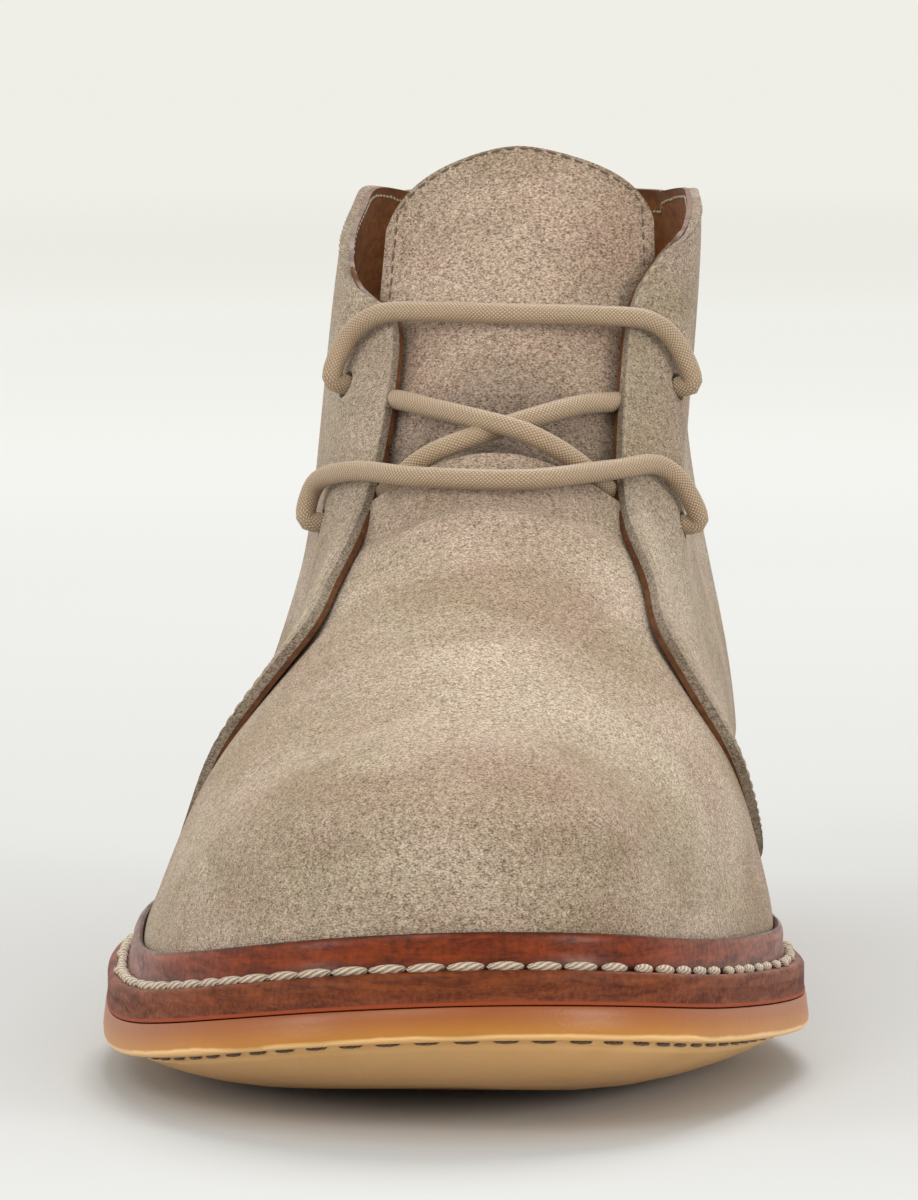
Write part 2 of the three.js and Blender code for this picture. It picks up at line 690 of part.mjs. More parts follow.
function toSolid(geometry) {
  const bare = geometry.clone();
  bare.deleteAttribute('normal');
  bare.deleteAttribute('uv');
  const merged = mergeVertices(bare, 1e-4);
  return new wasm.Manifold(new wasm.Mesh({
    numProp: 3,
    vertProperties: merged.getAttribute('position').array,
    triVerts: Uint32Array.from(merged.getIndex().array),
  }));
}

function fromSolid(solid) {
  const mesh = solid.getMesh();
  return geometryFrom(Array.from(mesh.vertProperties), Array.from(mesh.triVerts));
}

function eyeletPoint(side, row, offset) {
  const station = stationAt(side, row.along);
  const up = upAtHeight(side, station, row.height * upperHeight);
  return lastPoint(side, station, up, offset);
}

function eyeletPunch(side, row) {
  const inside = eyeletPoint(side, row, -upperWall * 3);
  const outside = eyeletPoint(side, row, quarterRise * 4);
  const punch = new THREE.CylinderGeometry(
    eyeletDiameter / 2, eyeletDiameter / 2, inside.distanceTo(outside), 12);
  const axis = outside.clone().sub(inside).normalize();
  punch.applyQuaternion(new THREE.Quaternion().setFromUnitVectors(new THREE.Vector3(0, 1, 0), axis));
  const middle = inside.add(outside).multiplyScalar(0.5);
  return toSolid(punch.translate(middle.x, middle.y, middle.z));
}

// The largest closed surface: a pinhole sealed between two joined layers is filled. One that only touches the
// rest along an edge comes apart when the solid is read again.
function largestBody(solid) {
  return solid.decompose().reduce((best, body) => (body.volume() > best.volume() ? body : best));
}

function upperGeometry() {
  let upper = largestBody(toSolid(upperShell()).add(toSolid(quarterSlab())));
  [-1, 1].forEach((side) => eyelets.forEach((row) => {
    upper = upper.subtract(eyeletPunch(side, row));
  }));
  return fromSolid(largestBody(toSolid(fromSolid(upper))));
}

// The rand stands on the welt round the foot of the upper.
function randGeometry() {
  const rows = [
    { out: randThickness + 0.9, height: 0 },
    { out: randThickness, height: randHeight * 0.75 },
    { out: randThickness * 0.65, height: randHeight },
    { out: seatGap, height: randHeight * 0.95 },
    { out: seatGap, height: 0 },
  ];
  const loops = rows.map(({ out, height }) => loop.map((place) => {
    const wall = wallAt(place.side, place.station);
    const up = upAtHeight(place.side, place.station, wall.foot.z + height);
    const point = height > 0 ? wallPoint(wall, up) : wall.foot.clone();
    point.addScaledVector(wall.spoke, out);
    if (height === 0) {
      point.z = platePoint(place, weltReach(place) - out, featherLevel, plateCamber).z;
    }
    return point;
  }));
  return meshFromLoops(loops, false);
}

// The insole fills the foot of the upper.
const insoleClearance = 1;

function insoleGeometry() {
  const edgeDepth = (place) => weltReach(place) + upperWall + insoleClearance;
  const depths = [(place) => edgeDepth(place), () => 20, () => 28];
  const ring = (depthAt, level) => loopOf((place) => platePoint(place, depthAt(place), level, plateCamber));
  const under = depths.slice().reverse().map((depthAt) => ring(depthAt, featherLevel));
  const over = depths.map((depthAt) => ring(depthAt, featherLevel + insoleThickness));
  return meshFromLoops([...under, ...over], true);
}

// The tongue follows the last between the quarters, inside the wall of the upper.
const tongueGap = 0.9;
const tongueSink = 1.2;
const tongueAcross = 10;
const tongueSteps = 12;

function upAtReach(side, station, reach) {
  const wall = wallAt(side, station);
  const outAt = (up) => {
    const point = wallPoint(wall, up);
    return Math.hypot(point.x - wall.spine.x, point.y - wall.spine.y);
  };
  return solve((up) => -outAt(up), -reach, 0.3, 1);
}

function onLast(x, along, offset) {
  const spine = readTable(lastRows, (row) => row.spine, along) * ballWidth;
  const side = x < spine ? -1 : 1;
  const station = stationAt(side, along);
  const up = upAtReach(side, station, Math.abs(x - spine));
  return lastPoint(side, station, up, offset);
}

function tongueGeometry() {
  const columns = [];
  for (let i = 0; i <= tongueAcross; i += 1) {
    const across = (2 * i) / tongueAcross - 1;
    const column = [];
    for (let j = 0; j <= tongueSteps; j += 1) {
      const first = tongueRows[0].along;
      const last = tongueRows[tongueRows.length - 1].along;
      const along = THREE.MathUtils.lerp(last, first, (1 - j / tongueSteps) ** 1.6);
      const half = readTable(tongueRows, (row) => row.halfWidth, along) * tongueWidth;
      const sweep = readTable(tongueRows, (row) => row.sweep, along) * across ** 2;
      const spine = readTable(lastRows, (row) => row.spine, along + sweep) * ballWidth;
      const x = spine + across * half;
      const outer = -upperWall - tongueGap - tongueSink * (1 - smoothRise(along, notchAlong, notchAlong / 2));
      column.push({
        outer: onLast(x, along + sweep, outer),
        inner: onLast(x, along + sweep, outer - tongueThickness),
      });
    }
    columns.push(column);
  }
  return slabGeometry(columns.reverse());
}

// The lace is round cord laid over the last.
function frontPoint(row) {
  const x = row.x * ballWidth;
  const along = solve((place) => onLast(x, place, 0).z, row.height * upperHeight, -0.2, 0.1);
  return onLast(x, along, row.lift);
}

function cord(points) {
  const path = new THREE.CatmullRomCurve3(points, false, 'centripetal');
  const section = new THREE.Shape();
  section.absarc(0, 0, laceDiameter / 2, 0, 2 * Math.PI);
  const steps = Math.round(path.getLength() / (laceDiameter * 1.2));
  return new THREE.ExtrudeGeometry(section, { curveSegments: 4, steps, extrudePath: path });
}

// A bar rests on the quarters at both ends, over a pair of eyelets.
const barLift = 4;

function bar(rows, eyelet) {
  const ends = [-1, 1].map((side) => eyeletPoint(side, eyelet, barLift));
  return toSolid(cord([ends[0], ...rows.map(frontPoint), ends[1]]));
}

function strand(rows) {
  return toSolid(cord(rows.map(frontPoint)));
}

function laceCrossing() {
  return fromSolid(bar(laceBottomRows, eyelets[1]).add(strand(laceOverRows)).add(strand(laceUnderRows)));
}

// The heel: a leather lift under the sole and a rubber top piece on the floor.
const heelStations = [0, 0.5, 1, 1.6, 2.2, 2.9, 3.6, 4.4, 5.2, 5.9];
const heelInset = 1.6;
const heelTaper = 1.2;

function heelLoop(depth, height) {
  const side = (sign) => {
    const first = stationAt(sign, breastLine / soleLength);
    const spread = (lastStation - first) / heelStations[heelStations.length - 1];
    return heelStations.map((step) => {
      const point = inset(sign, first + step * spread, depth);
      point.z = height < 0 ? groundLine(point.y) + height : height;
      return point;
    });
  };
  return [...side(-1), ...side(1).slice(0, -1).reverse()];
}

function heelLiftGeometry() {
  const base = heelPieceThickness + seatGap;
  const loops = [heelLoop(heelInset + heelTaper / 2, base), heelLoop(heelInset, -seatGap)];
  return meshFromLoops(loops, true, 1);
}

function heelPieceGeometry() {
  const loops = [
    heelLoop(heelInset + heelTaper + 0.6, 0),
    heelLoop(heelInset + heelTaper, 0.6),
    heelLoop(heelInset + heelTaper / 2, heelPieceThickness),
  ];
  return meshFromLoops(loops, true, 1);
}

function material(name, color, roughness) {
  return new THREE.MeshStandardMaterial({ name, color, roughness, metalness: 0 });
}

const rubber = material('amber_rubber', '#b9793a', 0.35);
const leather = material('welt_leather', '#5a2e22', 0.4);
const suede = material('suede', '#a8957c', 0.95);
const lining = material('lining_leather', '#8a5a34', 0.5);
const lace = material('waxed_lace', '#9a8865', 0.7);

const boot = new THREE.Group();

function addPart(name, geometry, look) {
  const part = new THREE.Mesh(geometry, look);
  part.name = name;
  boot.add(part);
}

addPart('outsole', outsoleGeometry(), rubber);
addPart('midsole', midsoleGeometry(), leather);
addPart('welt', weltGeometry(), leather);
addPart('rand', randGeometry(), leather);
addPart('heel_lift', heelLiftGeometry(), leather);
addPart('heel_top_piece', heelPieceGeometry(), rubber);
addPart('upper', upperGeometry(), suede);
addPart('tongue', tongueGeometry(), suede);
addPart('insole', insoleGeometry(), lining);
addPart('lace_top_bar', fromSolid(bar(laceTopRows, eyelets[0])), lace);
addPart('lace_crossing', laceCrossing(), lace);

export default boot;
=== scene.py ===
# %% [markdown]
# A right chukka boot in beige suede, on a leather welt and an amber rubber sole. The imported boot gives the
# size and the place of everything. This lesson dresses it: each leather panel, stitch row and plate of the
# sole is modelled finely over the same shape, and then gets its finish.

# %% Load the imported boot
import math
from collections import namedtuple

import bpy
from mathutils import Matrix, Vector


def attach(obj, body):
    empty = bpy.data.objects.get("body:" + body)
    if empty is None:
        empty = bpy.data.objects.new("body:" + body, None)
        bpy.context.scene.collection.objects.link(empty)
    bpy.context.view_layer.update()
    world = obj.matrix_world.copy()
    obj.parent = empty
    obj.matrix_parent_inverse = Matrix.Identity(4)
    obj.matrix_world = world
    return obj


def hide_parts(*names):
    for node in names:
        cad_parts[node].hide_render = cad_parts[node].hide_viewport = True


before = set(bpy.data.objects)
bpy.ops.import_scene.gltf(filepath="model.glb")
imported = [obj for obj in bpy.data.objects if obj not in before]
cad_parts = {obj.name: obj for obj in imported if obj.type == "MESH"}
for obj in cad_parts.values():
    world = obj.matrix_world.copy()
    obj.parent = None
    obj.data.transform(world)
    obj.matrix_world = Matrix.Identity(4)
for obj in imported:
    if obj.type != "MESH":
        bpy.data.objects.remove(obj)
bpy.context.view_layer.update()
MM = 0.001
print("CAD nodes:", sorted(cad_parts))

# %% [markdown]
# The photograph looks at the toe from a low stand, a little from the inner side, through a long lens. A
# camera far away with a long lens gives the same flat perspective, and it comes first so that every later
# look is from there.

# %% Camera
SIDE_ANGLE = math.radians(3.5)
TILT = math.radians(5.0)
DISTANCE = 1.5
aim = Vector((0.0, -0.05, 0.0718))
back = Vector((math.sin(SIDE_ANGLE) * math.cos(TILT), -math.cos(SIDE_ANGLE) * math.cos(TILT), math.sin(TILT)))
bpy.ops.object.camera_add(location=aim + back * DISTANCE)
camera = bpy.context.object
camera.rotation_mode = "QUATERNION"
camera.rotation_quaternion = (-back).to_track_quat("-Z", "Y")
camera.data.lens = 287
camera.data.clip_start, camera.data.clip_end = 0.05, 50
bpy.context.scene.camera = camera
print("camera at", [round(value, 3) for value in camera.location])

# %% [markdown]
# The boot stands on a plain pale floor under soft studio light. One broad plane is enough for the floor. A
# lamp above and behind lays the soft shadow in front of the toe, a key stands at the front and a low lamp
# at each side. The paper of the floor is a little greyer near the boot, where the lamps are, so that it
# looks even all over.

# %% Floor and lights
bpy.context.scene.view_settings.view_transform = "Standard"
bpy.ops.object.select_all(action="DESELECT")
bpy.ops.mesh.primitive_plane_add(size=30, location=(0, 0, 0))
floor = bpy.context.object
floor.name = "floor"


LAMP_SIZE = 0.8


def lamp(name, place, target, power):
    bpy.ops.object.light_add(type="AREA", location=place)
    light = bpy.context.object
    light.name = name
    light.data.shape = "DISK"
    light.data.size = LAMP_SIZE
    light.data.energy = power
    light.rotation_mode = "QUATERNION"
    light.rotation_quaternion = (Vector(target) - Vector(place)).to_track_quat("-Z", "Y")


lamp("overhead", (0.1, 0.9, 1.3), (0, -0.05, 0), 18)
lamp("key", (-0.7, -1.6, 1.3), (0, 0, 0.05), 8)
lamp("right", (1.5, -0.9, 0.5), (0, 0, 0.06), 12)
lamp("left", (-1.5, -0.8, 0.5), (0, 0, 0.06), 8)
world = bpy.data.worlds.new("studio")
bpy.context.scene.world = world
world.use_nodes = True
world.node_tree.nodes["Background"].inputs["Color"].default_value = (1.0, 0.998, 0.93, 1)
world.node_tree.nodes["Background"].inputs["Strength"].default_value = 0.9
print("lamps:", [item.name for item in bpy.data.lights])

# %% [markdown]
# A boot's shape is the last that it is made on. The last is given here by the same tables as the imported
# boot: the sole's outline, wall sections standing on it, and the edges of the openings. The rims of the
# collar and a few sizes of the sole are set a little nearer to the photograph. Lengths are shares of the
# boot's own sizes, and everything is reckoned in millimetres.

# %% Sizes of the boot, in millimetres
SOLE_LENGTH, BALL_WIDTH, HEEL_WIDTH, UPPER_HEIGHT = 300, 111, 77, 125
TOE_SPRING, HEEL_RISE, CAMBER, TOE_LEAN = 9.0, 14, 4.0, 0.035
EVEN_RIM, UNDER_RIM = 6, 3.2
OUTSOLE, OUTSOLE_EDGE, MIDSOLE, WELT, GAP = 7.2, 5.2, 2.7, 1.9, 0.3
WALL, LAP, STAND_OFF = 1.8, 1.3, 1.6
RAND_HEIGHT = 5.3
TONGUE_WIDTH, LACE, EYELET = 62, 3.3, 4.6
MIDSOLE_LEVEL = OUTSOLE + GAP
WELT_LEVEL = MIDSOLE_LEVEL + MIDSOLE + GAP
WELT_TOP = WELT_LEVEL + WELT
FEATHER = WELT_TOP + GAP

# %% The outline, the last's sections and the openings
Edge = namedtuple("Edge", "along lateral medial welt")
outline_rows = [
    Edge(-0.5, -0.045, 0.045, 0.057), Edge(-0.488, 0.117, 0.19, 0.057), Edge(-0.46, 0.234, 0.297, 0.057),
    Edge(-0.42, 0.327, 0.365, 0.057), Edge(-0.36, 0.41, 0.423, 0.057), Edge(-0.29, 0.467, 0.4685, 0.057),
    Edge(-0.21, 0.4955, 0.499, 0.057), Edge(-0.13, 0.502, 0.4805, 0.055), Edge(-0.05, 0.493, 0.4455, 0.049),
    Edge(0.03, 0.47, 0.414, 0.04), Edge(0.1, 0.4656, 0.432, 0.034), Edge(0.18, 0.469, 0.476, 0.031),
    Edge(0.27, 0.474, 0.526, 0.029), Edge(0.36, 0.4545, 0.5325, 0.028), Edge(0.42, 0.39, 0.48, 0.028),
    Edge(0.46, 0.286, 0.383, 0.028), Edge(0.485, 0.162, 0.26, 0.028), Edge(0.5, -0.045, 0.045, 0.028),
]
# Each wall is bulge, shoulder and top: how far out from the spine, and how high, in shares.
Section = namedtuple("Section", "along spine ridge lateral medial")
last_rows = [
    Section(-0.5, 0.022, 0.462, (1.01, 0.25, 0.87, 0.68, 0.5, 0.88),
            (1.01, 0.25, 0.87, 0.68, 0.5, 0.88)),
    Section(-0.36, 0.022, 0.462, (1.0, 0.2, 0.83, 0.62, 0.47, 0.9),
            (1.0, 0.22, 0.85, 0.64, 0.485, 0.91)),
    Section(-0.29, 0.024, 0.508, (0.985, 0.17, 0.81, 0.58, 0.47, 0.87),
            (1.0, 0.19, 0.84, 0.61, 0.5, 0.89)),
    Section(-0.21, 0.027, 0.573, (0.975, 0.14, 0.775, 0.56, 0.445, 0.855),
            (1.0, 0.16, 0.835, 0.58, 0.505, 0.87)),
    Section(-0.13, 0.031, 0.658, (0.975, 0.12, 0.695, 0.545, 0.435, 0.833),
            (1.0, 0.2, 0.825, 0.57, 0.505, 0.87)),
    Section(-0.05, 0.04, 0.8, (0.985, 0.1, 0.645, 0.507, 0.485, 0.776),
            (1.02, 0.22, 0.84, 0.552, 0.64, 0.776)),
    Section(0.03, 0.049, 1.023, (0.98, 0.11, 0.69, 0.496, 0.52, 0.796),
            (1.08, 0.177, 0.86, 0.496, 0.79, 0.796)),
    Section(0.1, 0.049, 1.254, (0.99, 0.11, 0.79, 0.366, 0.57, 0.86),
            (1.1, 0.153, 0.86, 0.395, 0.89, 0.86)),
    Section(0.18, 0.045, 1.292, (1.01, 0.127, 0.835, 0.394, 0.62, 0.835),
            (1.06, 0.155, 0.82, 0.408, 0.85, 0.835)),
    Section(0.27, 0.04, 1.292, (1.026, 0.149, 0.86, 0.418, 0.655, 0.825),
            (0.955, 0.163, 0.745, 0.418, 0.755, 0.825)),
    Section(0.36, 0.036, 1.292, (1.022, 0.16, 0.83, 0.43, 0.58, 0.812),
            (0.935, 0.16, 0.735, 0.43, 0.6, 0.812)),
    Section(0.5, 0.036, 1.292, (1.01, 0.16, 0.885, 0.43, 0.83, 0.8),
            (1.01, 0.16, 0.885, 0.43, 0.83, 0.8)),
]
Rim = namedtuple("Rim", "along lateral medial")
opening_rows = [
    Rim(-0.058, 0.678, 0.678), Rim(-0.033, 0.738, 0.738), Rim(-0.01, 0.8, 0.8), Rim(0.027, 0.9, 0.908),
    Rim(0.055, 0.93, 0.975), Rim(0.08, 0.957, 1.008), Rim(0.11, 0.99, 1.03), Rim(0.18, 1.03, 1.045),
    Rim(0.27, 1.045, 1.045), Rim(0.36, 1.03, 1.03), Rim(0.5, 1.02, 1.02),
]
APEX, NOTCH, FAN = -0.0765, -0.058, 0.36
Front = namedtuple("Front", "along height stand")
quarter_rows = [
    Front(0.0, 0.165, 0), Front(-0.06, 0.2, 0), Front(-0.115, 0.25, 0), Front(-0.153, 0.305, 0.1),
    Front(-0.178, 0.362, 0.35), Front(-0.191, 0.43, 0.7), Front(-0.17, 0.508, 1), Front(-0.12, 0.58, 1),
    Front(-0.083, 0.638, 0.7),
]
LAST_STATION = len(outline_rows) - 1
print("tables:", len(outline_rows), "outline rows,", len(last_rows), "sections")


# %% [markdown]
# The tables are read with smooth curves. The outline is one closed curve; a wall curve then stands on each
# spoke from the outline to the middle of the foot. With these few functions any point on the boot can be
# found from its side, its station from toe to heel, and its share of the way up.

# %% Curves through the tables
def read_table(rows, pick, along):
    if along <= rows[0].along:
        return pick(rows[0])
    if along >= rows[-1].along:
        return pick(rows[-1])
    i = 0
    while rows[i + 1].along < along:
        i += 1

    def slope(k):
        before, after = rows[max(k - 1, 0)], rows[min(k + 1, len(rows) - 1)]
        return (pick(after) - pick(before)) / (after.along - before.along)

    span = rows[i + 1].along - rows[i].along
    t = (along - rows[i].along) / span
    rise = pick(rows[i + 1]) - pick(rows[i])
    a, b = slope(i) * span - rise, rise - slope(i + 1) * span
    return pick(rows[i]) + rise * t + t * (1 - t) * (a * (1 - t) + b * t)


def clamp(value, low=0.0, high=1.0):
    return max(low, min(high, value))


def smooth(value, low, high):
    t = clamp((value - low) / (high - low))
    return t * t * (3 - 2 * t)


def curve_value(a, b, c, d, t):
    return b + 0.5 * t * (c - a + t * (2 * a - 5 * b + 4 * c - d + t * (3 * (b - c) + d - a)))


# %% The sole's ground line and outline
FLAT_FRONT, FLAT_BACK, BREAST = -0.215 * SOLE_LENGTH, -0.09 * SOLE_LENGTH, 0.205 * SOLE_LENGTH


def ground_line(y):
    if y < FLAT_FRONT:
        return TOE_SPRING * ((FLAT_FRONT - y) / (FLAT_FRONT + SOLE_LENGTH / 2)) ** 1.9
    if y > BREAST:
        return HEEL_RISE + 0.012 * (y - BREAST)
    return HEEL_RISE * smooth(y, FLAT_BACK, BREAST)


def outline_width(along):
    return BALL_WIDTH + (HEEL_WIDTH - BALL_WIDTH) * smooth(along, -0.17, 0.3)


marks = [Vector((-r.lateral * outline_width(r.along), r.along * SOLE_LENGTH, 0)) for r in outline_rows]
marks += [Vector((r.medial * outline_width(r.along), r.along * SOLE_LENGTH, 0))
          for r in outline_rows[-2:0:-1]]


def outline_point(side, station):
    turn = station if side < 0 else len(marks) - station
    piece = int(math.floor(turn))
    four = [marks[(piece + k) % len(marks)] for k in (-1, 0, 1, 2)]
    return curve_value(*four, turn - piece)


def spine_point(point):
    y = clamp(point.y, -FAN * SOLE_LENGTH, FAN * SOLE_LENGTH)
    return Vector((read_table(last_rows, lambda r: r.spine, y / SOLE_LENGTH) * BALL_WIDTH, y, 0))


def along_of(point):
    share = point.y / SOLE_LENGTH
    if abs(share) <= FAN:
        return share
    spoke = (point.xy - spine_point(point).xy).normalized()
    return math.copysign(FAN + (0.5 - FAN) * math.asin(min(abs(spoke.y), 1)) / (math.pi / 2), share)


def inset(side, station, depth, most=0.92):
    edge = outline_point(side, station)
    spoke = spine_point(edge) - edge
    return edge + spoke.normalized() * min(depth, spoke.length * most)


def edge_lift(y, depth):
    return (1 - smooth(y, 0, BREAST * 0.8)) * max(0, 1 - depth / 26) ** 2.5


# The toe leans a little outwards: its inner edge stands higher than its outer one.
def plate_point(side, station, depth, level, camber, most=0.92, rim=EVEN_RIM):
    point = inset(side, station, depth, most)
    outer = inset(side, station, max(depth - rim, 0), most)
    lift = edge_lift(outer.y, max(depth - rim, 0))
    lean = TOE_LEAN * point.x * smooth(-point.y, 40, 110) * math.sqrt(lift)
    point.z = ground_line(outer.y) + level + camber * lift + lean
    return point


# %% The last's walls
def welt_reach(side, station):
    return read_table(outline_rows, lambda r: r.welt, along_of(outline_point(side, station))) * BALL_WIDTH


def ridge_height(along):
    return read_table(last_rows, lambda r: r.ridge, along) * UPPER_HEIGHT


Wall = namedtuple("Wall", "foot spine spoke outs ups")
walls = {}


def wall_at(side, station):
    key = (side, round(station, 4))
    if key not in walls:
        foot = plate_point(side, station, welt_reach(side, station), FEATHER, CAMBER)
        spine = spine_point(foot)
        spoke = Vector((foot.x - spine.x, foot.y - spine.y, 0))
        radius = spoke.length
        spoke.normalize()
        along = along_of(foot)
        ridge = ridge_height(spine.y / SOLE_LENGTH)
        rise = ridge - foot.z
        wall = 3 if side < 0 else 4
        read = [read_table(last_rows, lambda r: r[wall][k], along) for k in range(6)]
        outs = [radius] + [value * radius for value in read[0::2]] + [0]
        ups = [0] + [value * rise for value in read[1::2]] + [rise]
        beyond = ridge_height((spine.y - spoke.y * outs[3]) / SOLE_LENGTH) - ridge
        outs = [2 * radius - outs[1]] + outs + [-outs[3]]
        ups = [-ups[1]] + ups + [rise + beyond - (rise - ups[3]) * abs(spoke.x)]
        walls[key] = Wall(foot, spine, spoke, outs, ups)
    return walls[key]


def wall_point(wall, up):
    scaled = clamp(up) * 4
    piece = min(int(scaled), 3)
    out = curve_value(*wall.outs[piece:piece + 4], scaled - piece)
    height = curve_value(*wall.ups[piece:piece + 4], scaled - piece)
    across, forward = wall.spine.x + wall.spoke.x * out, wall.spine.y + wall.spoke.y * out
    return Vector((across, forward, wall.foot.z + height))


def last_point(side, station, up, offset):
    step = 0.02
    station = clamp(station, 0, LAST_STATION)
    here = wall_at(side, station)
    point = wall_point(here, up)
    if up > 0.9999:
        slope = (ridge_height((point.y + 0.5) / SOLE_LENGTH) - ridge_height((point.y - 0.5) / SOLE_LENGTH))
        return point + Vector((0, -slope, 1)).normalized() * offset
    if station in (0, LAST_STATION):
        along = Vector((side if station == 0 else -side, 0, 0))
    else:
        along = (wall_point(wall_at(side, min(station + step, LAST_STATION)), up)
                 - wall_point(wall_at(side, max(station - step, 0)), up))
    normal = along.cross(wall_point(here, up + step) - wall_point(here, up - step)) * side
    if up < 0.0001:
        normal.z = 0
    return point + normal.normalized() * offset


# %% Finding a place on the last
def solve(rising, target, low, high):
    for _ in range(26):
        middle = (low + high) / 2
        if rising(middle) < target:
            low = middle
        else:
            high = middle
    return (low + high) / 2


def up_at_height(side, station, height):
    wall = wall_at(side, station)
    return solve(lambda up: wall_point(wall, up).z, height, 0, 1)


def station_at(side, along):
    return solve(lambda station: outline_point(side, station).y, along * SOLE_LENGTH, 0, LAST_STATION)


def rim_height(side, along):
    return read_table(opening_rows, lambda r: r.lateral if side < 0 else r.medial, along) * UPPER_HEIGHT


def opening_up(side, station):
    along = along_of(wall_at(side, station).foot)
    if along <= APEX:
        return 1
    edge = up_at_height(side, station, rim_height(side, along))
    if along >= NOTCH:
        return edge
    return 1 - (1 - edge) * math.sqrt((along - APEX) / (NOTCH - APEX))


def on_last(x, along, offset):
    spine = read_table(last_rows, lambda r: r.spine, along) * BALL_WIDTH
    side = -1 if x < spine else 1
    station = station_at(side, along)
    wall = wall_at(side, station)
    up = solve(lambda share: -(wall_point(wall, share).xy - wall.spine.xy).length, -abs(x - spine), 0.3, 1)
    return last_point(side, station, up, offset)


print("instep at the top of the vamp:", [round(value, 1) for value in on_last(3, -0.08, 0)])


# %% [markdown]
# Leather panels and sole plates are all sheets that follow the last. A grid primitive is laid over it:
# every vertex of the grid is moved to its place by a function, and points that meet, such as the two sides
# along the ridge, are merged. The grid keeps its UV map, so a pattern can follow the sheet.

# %% Grids laid over the last
def alone(piece):
    bpy.ops.object.select_all(action="DESELECT")
    piece.select_set(True)
    bpy.context.view_layer.objects.active = piece
    return piece


def in_edit_mode(piece, *steps):
    alone(piece)
    bpy.ops.object.mode_set(mode="EDIT")
    bpy.ops.mesh.select_all(action="SELECT")
    for step in steps:
        step()
    bpy.ops.object.mode_set(mode="OBJECT")


def laid_sheet(name, columns, rows, place, measures=None):
    bpy.ops.object.select_all(action="DESELECT")
    bpy.ops.mesh.primitive_grid_add(x_subdivisions=columns, y_subdivisions=rows, size=1, location=(0, 0, 0))
    piece = bpy.context.object
    piece.name = piece.data.name = name
    cells = [(round((v.co.x + 0.5) * columns), round((v.co.y + 0.5) * rows)) for v in piece.data.vertices]
    for vertex, (i, j) in zip(piece.data.vertices, cells):
        vertex.co = place(i, j) * MM
    for title, measure in (measures or {}).items():
        layer = piece.data.attributes.new(title, "FLOAT", "POINT")
        for value, (i, j) in zip(layer.data, cells):
            value.value = measure(i, j)
    in_edit_mode(piece, lambda: bpy.ops.mesh.remove_doubles(threshold=2e-5))
    bpy.ops.object.shade_smooth()
    return piece


def face_outwards(piece):
    in_edit_mode(piece, lambda: bpy.ops.mesh.normals_make_consistent(inside=False))
    return piece


def finish_with(piece, kind, **settings):
    alone(piece)
    modifier = piece.modifiers.new(kind.title(), kind)
    for key, value in settings.items():
        setattr(modifier, key, value)
    bpy.ops.object.modifier_apply(modifier=modifier.name)
    return piece


def thicken(piece, thickness, edge_slot=0, back_slot=0):
    finish_with(piece, "SOLIDIFY", thickness=thickness * MM, offset=-1, use_rim=True, use_even_offset=False,
                material_offset_rim=edge_slot, material_offset=back_slot)
    alone(piece)
    bpy.ops.object.shade_smooth_by_angle(angle=math.radians(50))
    return piece


def belongs(piece, slot, *materials, stands_for=()):
    piece.data.materials.clear()
    for material in materials:
        piece.data.materials.append(material)
    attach(piece, "root")
    if stands_for:
        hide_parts(*stands_for)
    print(piece.name, len(piece.data.polygons), "faces")
    return piece


# %% [markdown]
# Materials are node trees. Two short helpers make a node with its settings and inputs in one line each, and
# a third writes a colour as the hex number that a painter would note down.

# %% Node helpers
def colour(code):
    parts = [int(code[k:k + 2], 16) / 255 for k in (0, 2, 4)]
    return tuple(p / 12.92 if p <= 0.04045 else ((p + 0.055) / 1.055) ** 2.4 for p in parts) + (1,)


def node(tree, kind, inputs=None, **settings):
    made = tree.nodes.new("ShaderNode" + kind)
    for key, value in settings.items():
        setattr(made, key, value)
    for key, value in (inputs or {}).items():
        if isinstance(value, bpy.types.NodeSocket):
            tree.links.new(value, made.inputs[key])
        else:
            made.inputs[key].default_value = value
    return made


def blend(tree, factor, a, b, kind="MIX"):
    made = node(tree, "Mix", {0: factor, 6: a, 7: b}, data_type="RGBA", blend_type=kind)
    return made.outputs[2]


def sums(tree, kind, a, b=0.0, c=0.0):
    return node(tree, "Math", {0: a, 1: b, 2: c}, operation=kind).outputs[0]


def spread(tree, value, low, high, new_low=0.0, new_high=1.0):
    return node(tree, "MapRange", {0: value, 1: low, 2: high, 3: new_low, 4: new_high}).outputs[0]


def noise(tree, place, scale, detail=2.0, rough=0.5, distortion=0.0):
    made = node(tree, "TexNoise", {"Vector": place, "Scale": scale, "Detail": detail, "Roughness": rough,
                                   "Distortion": distortion})
    return made.outputs[0]


def on_object(tree, scale=(1, 1, 1), location=(0, 0, 0), turn=(0, 0, 0)):
    place = node(tree, "TexCoord").outputs["Object"]
    made = node(tree, "Mapping", {"Vector": place, "Scale": scale, "Location": location, "Rotation": turn})
    return made.outputs[0]


def attribute(tree, title):
    return node(tree, "Attribute", attribute_name=title).outputs["Fac"]


# Darkens a colour by a mask stored on the mesh: painted shade in crevices, along rims and under other parts.
def darkened_by_painted_shade(tree, base, least):
    kept = spread(tree, attribute(tree, "painted_shade"), 0.0, 1.0, 1.0, least)
    grey = node(tree, "CombineColor", {0: kept, 1: kept, 2: kept}).outputs[0]
    return blend(tree, 1.0, base, grey, "MULTIPLY")


def new_group(name, inputs, outputs):
    tree = bpy.data.node_groups.new(name, "ShaderNodeTree")
    for title, start in inputs.items():
        tree.interface.new_socket(title, in_out="INPUT", socket_type="NodeSocketFloat").default_value = start
    for title in outputs:
        tree.interface.new_socket(title, in_out="OUTPUT", socket_type="NodeSocketFloat")
    return tree, tree.nodes.new("NodeGroupInput").outputs, tree.nodes.new("NodeGroupOutput").inputs


def use_group(tree, group, **inputs):
    made = tree.nodes.new("ShaderNodeGroup")
    made.node_tree = group
    for key, value in inputs.items():
        made.inputs[key].default_value = value
    return made.outputs


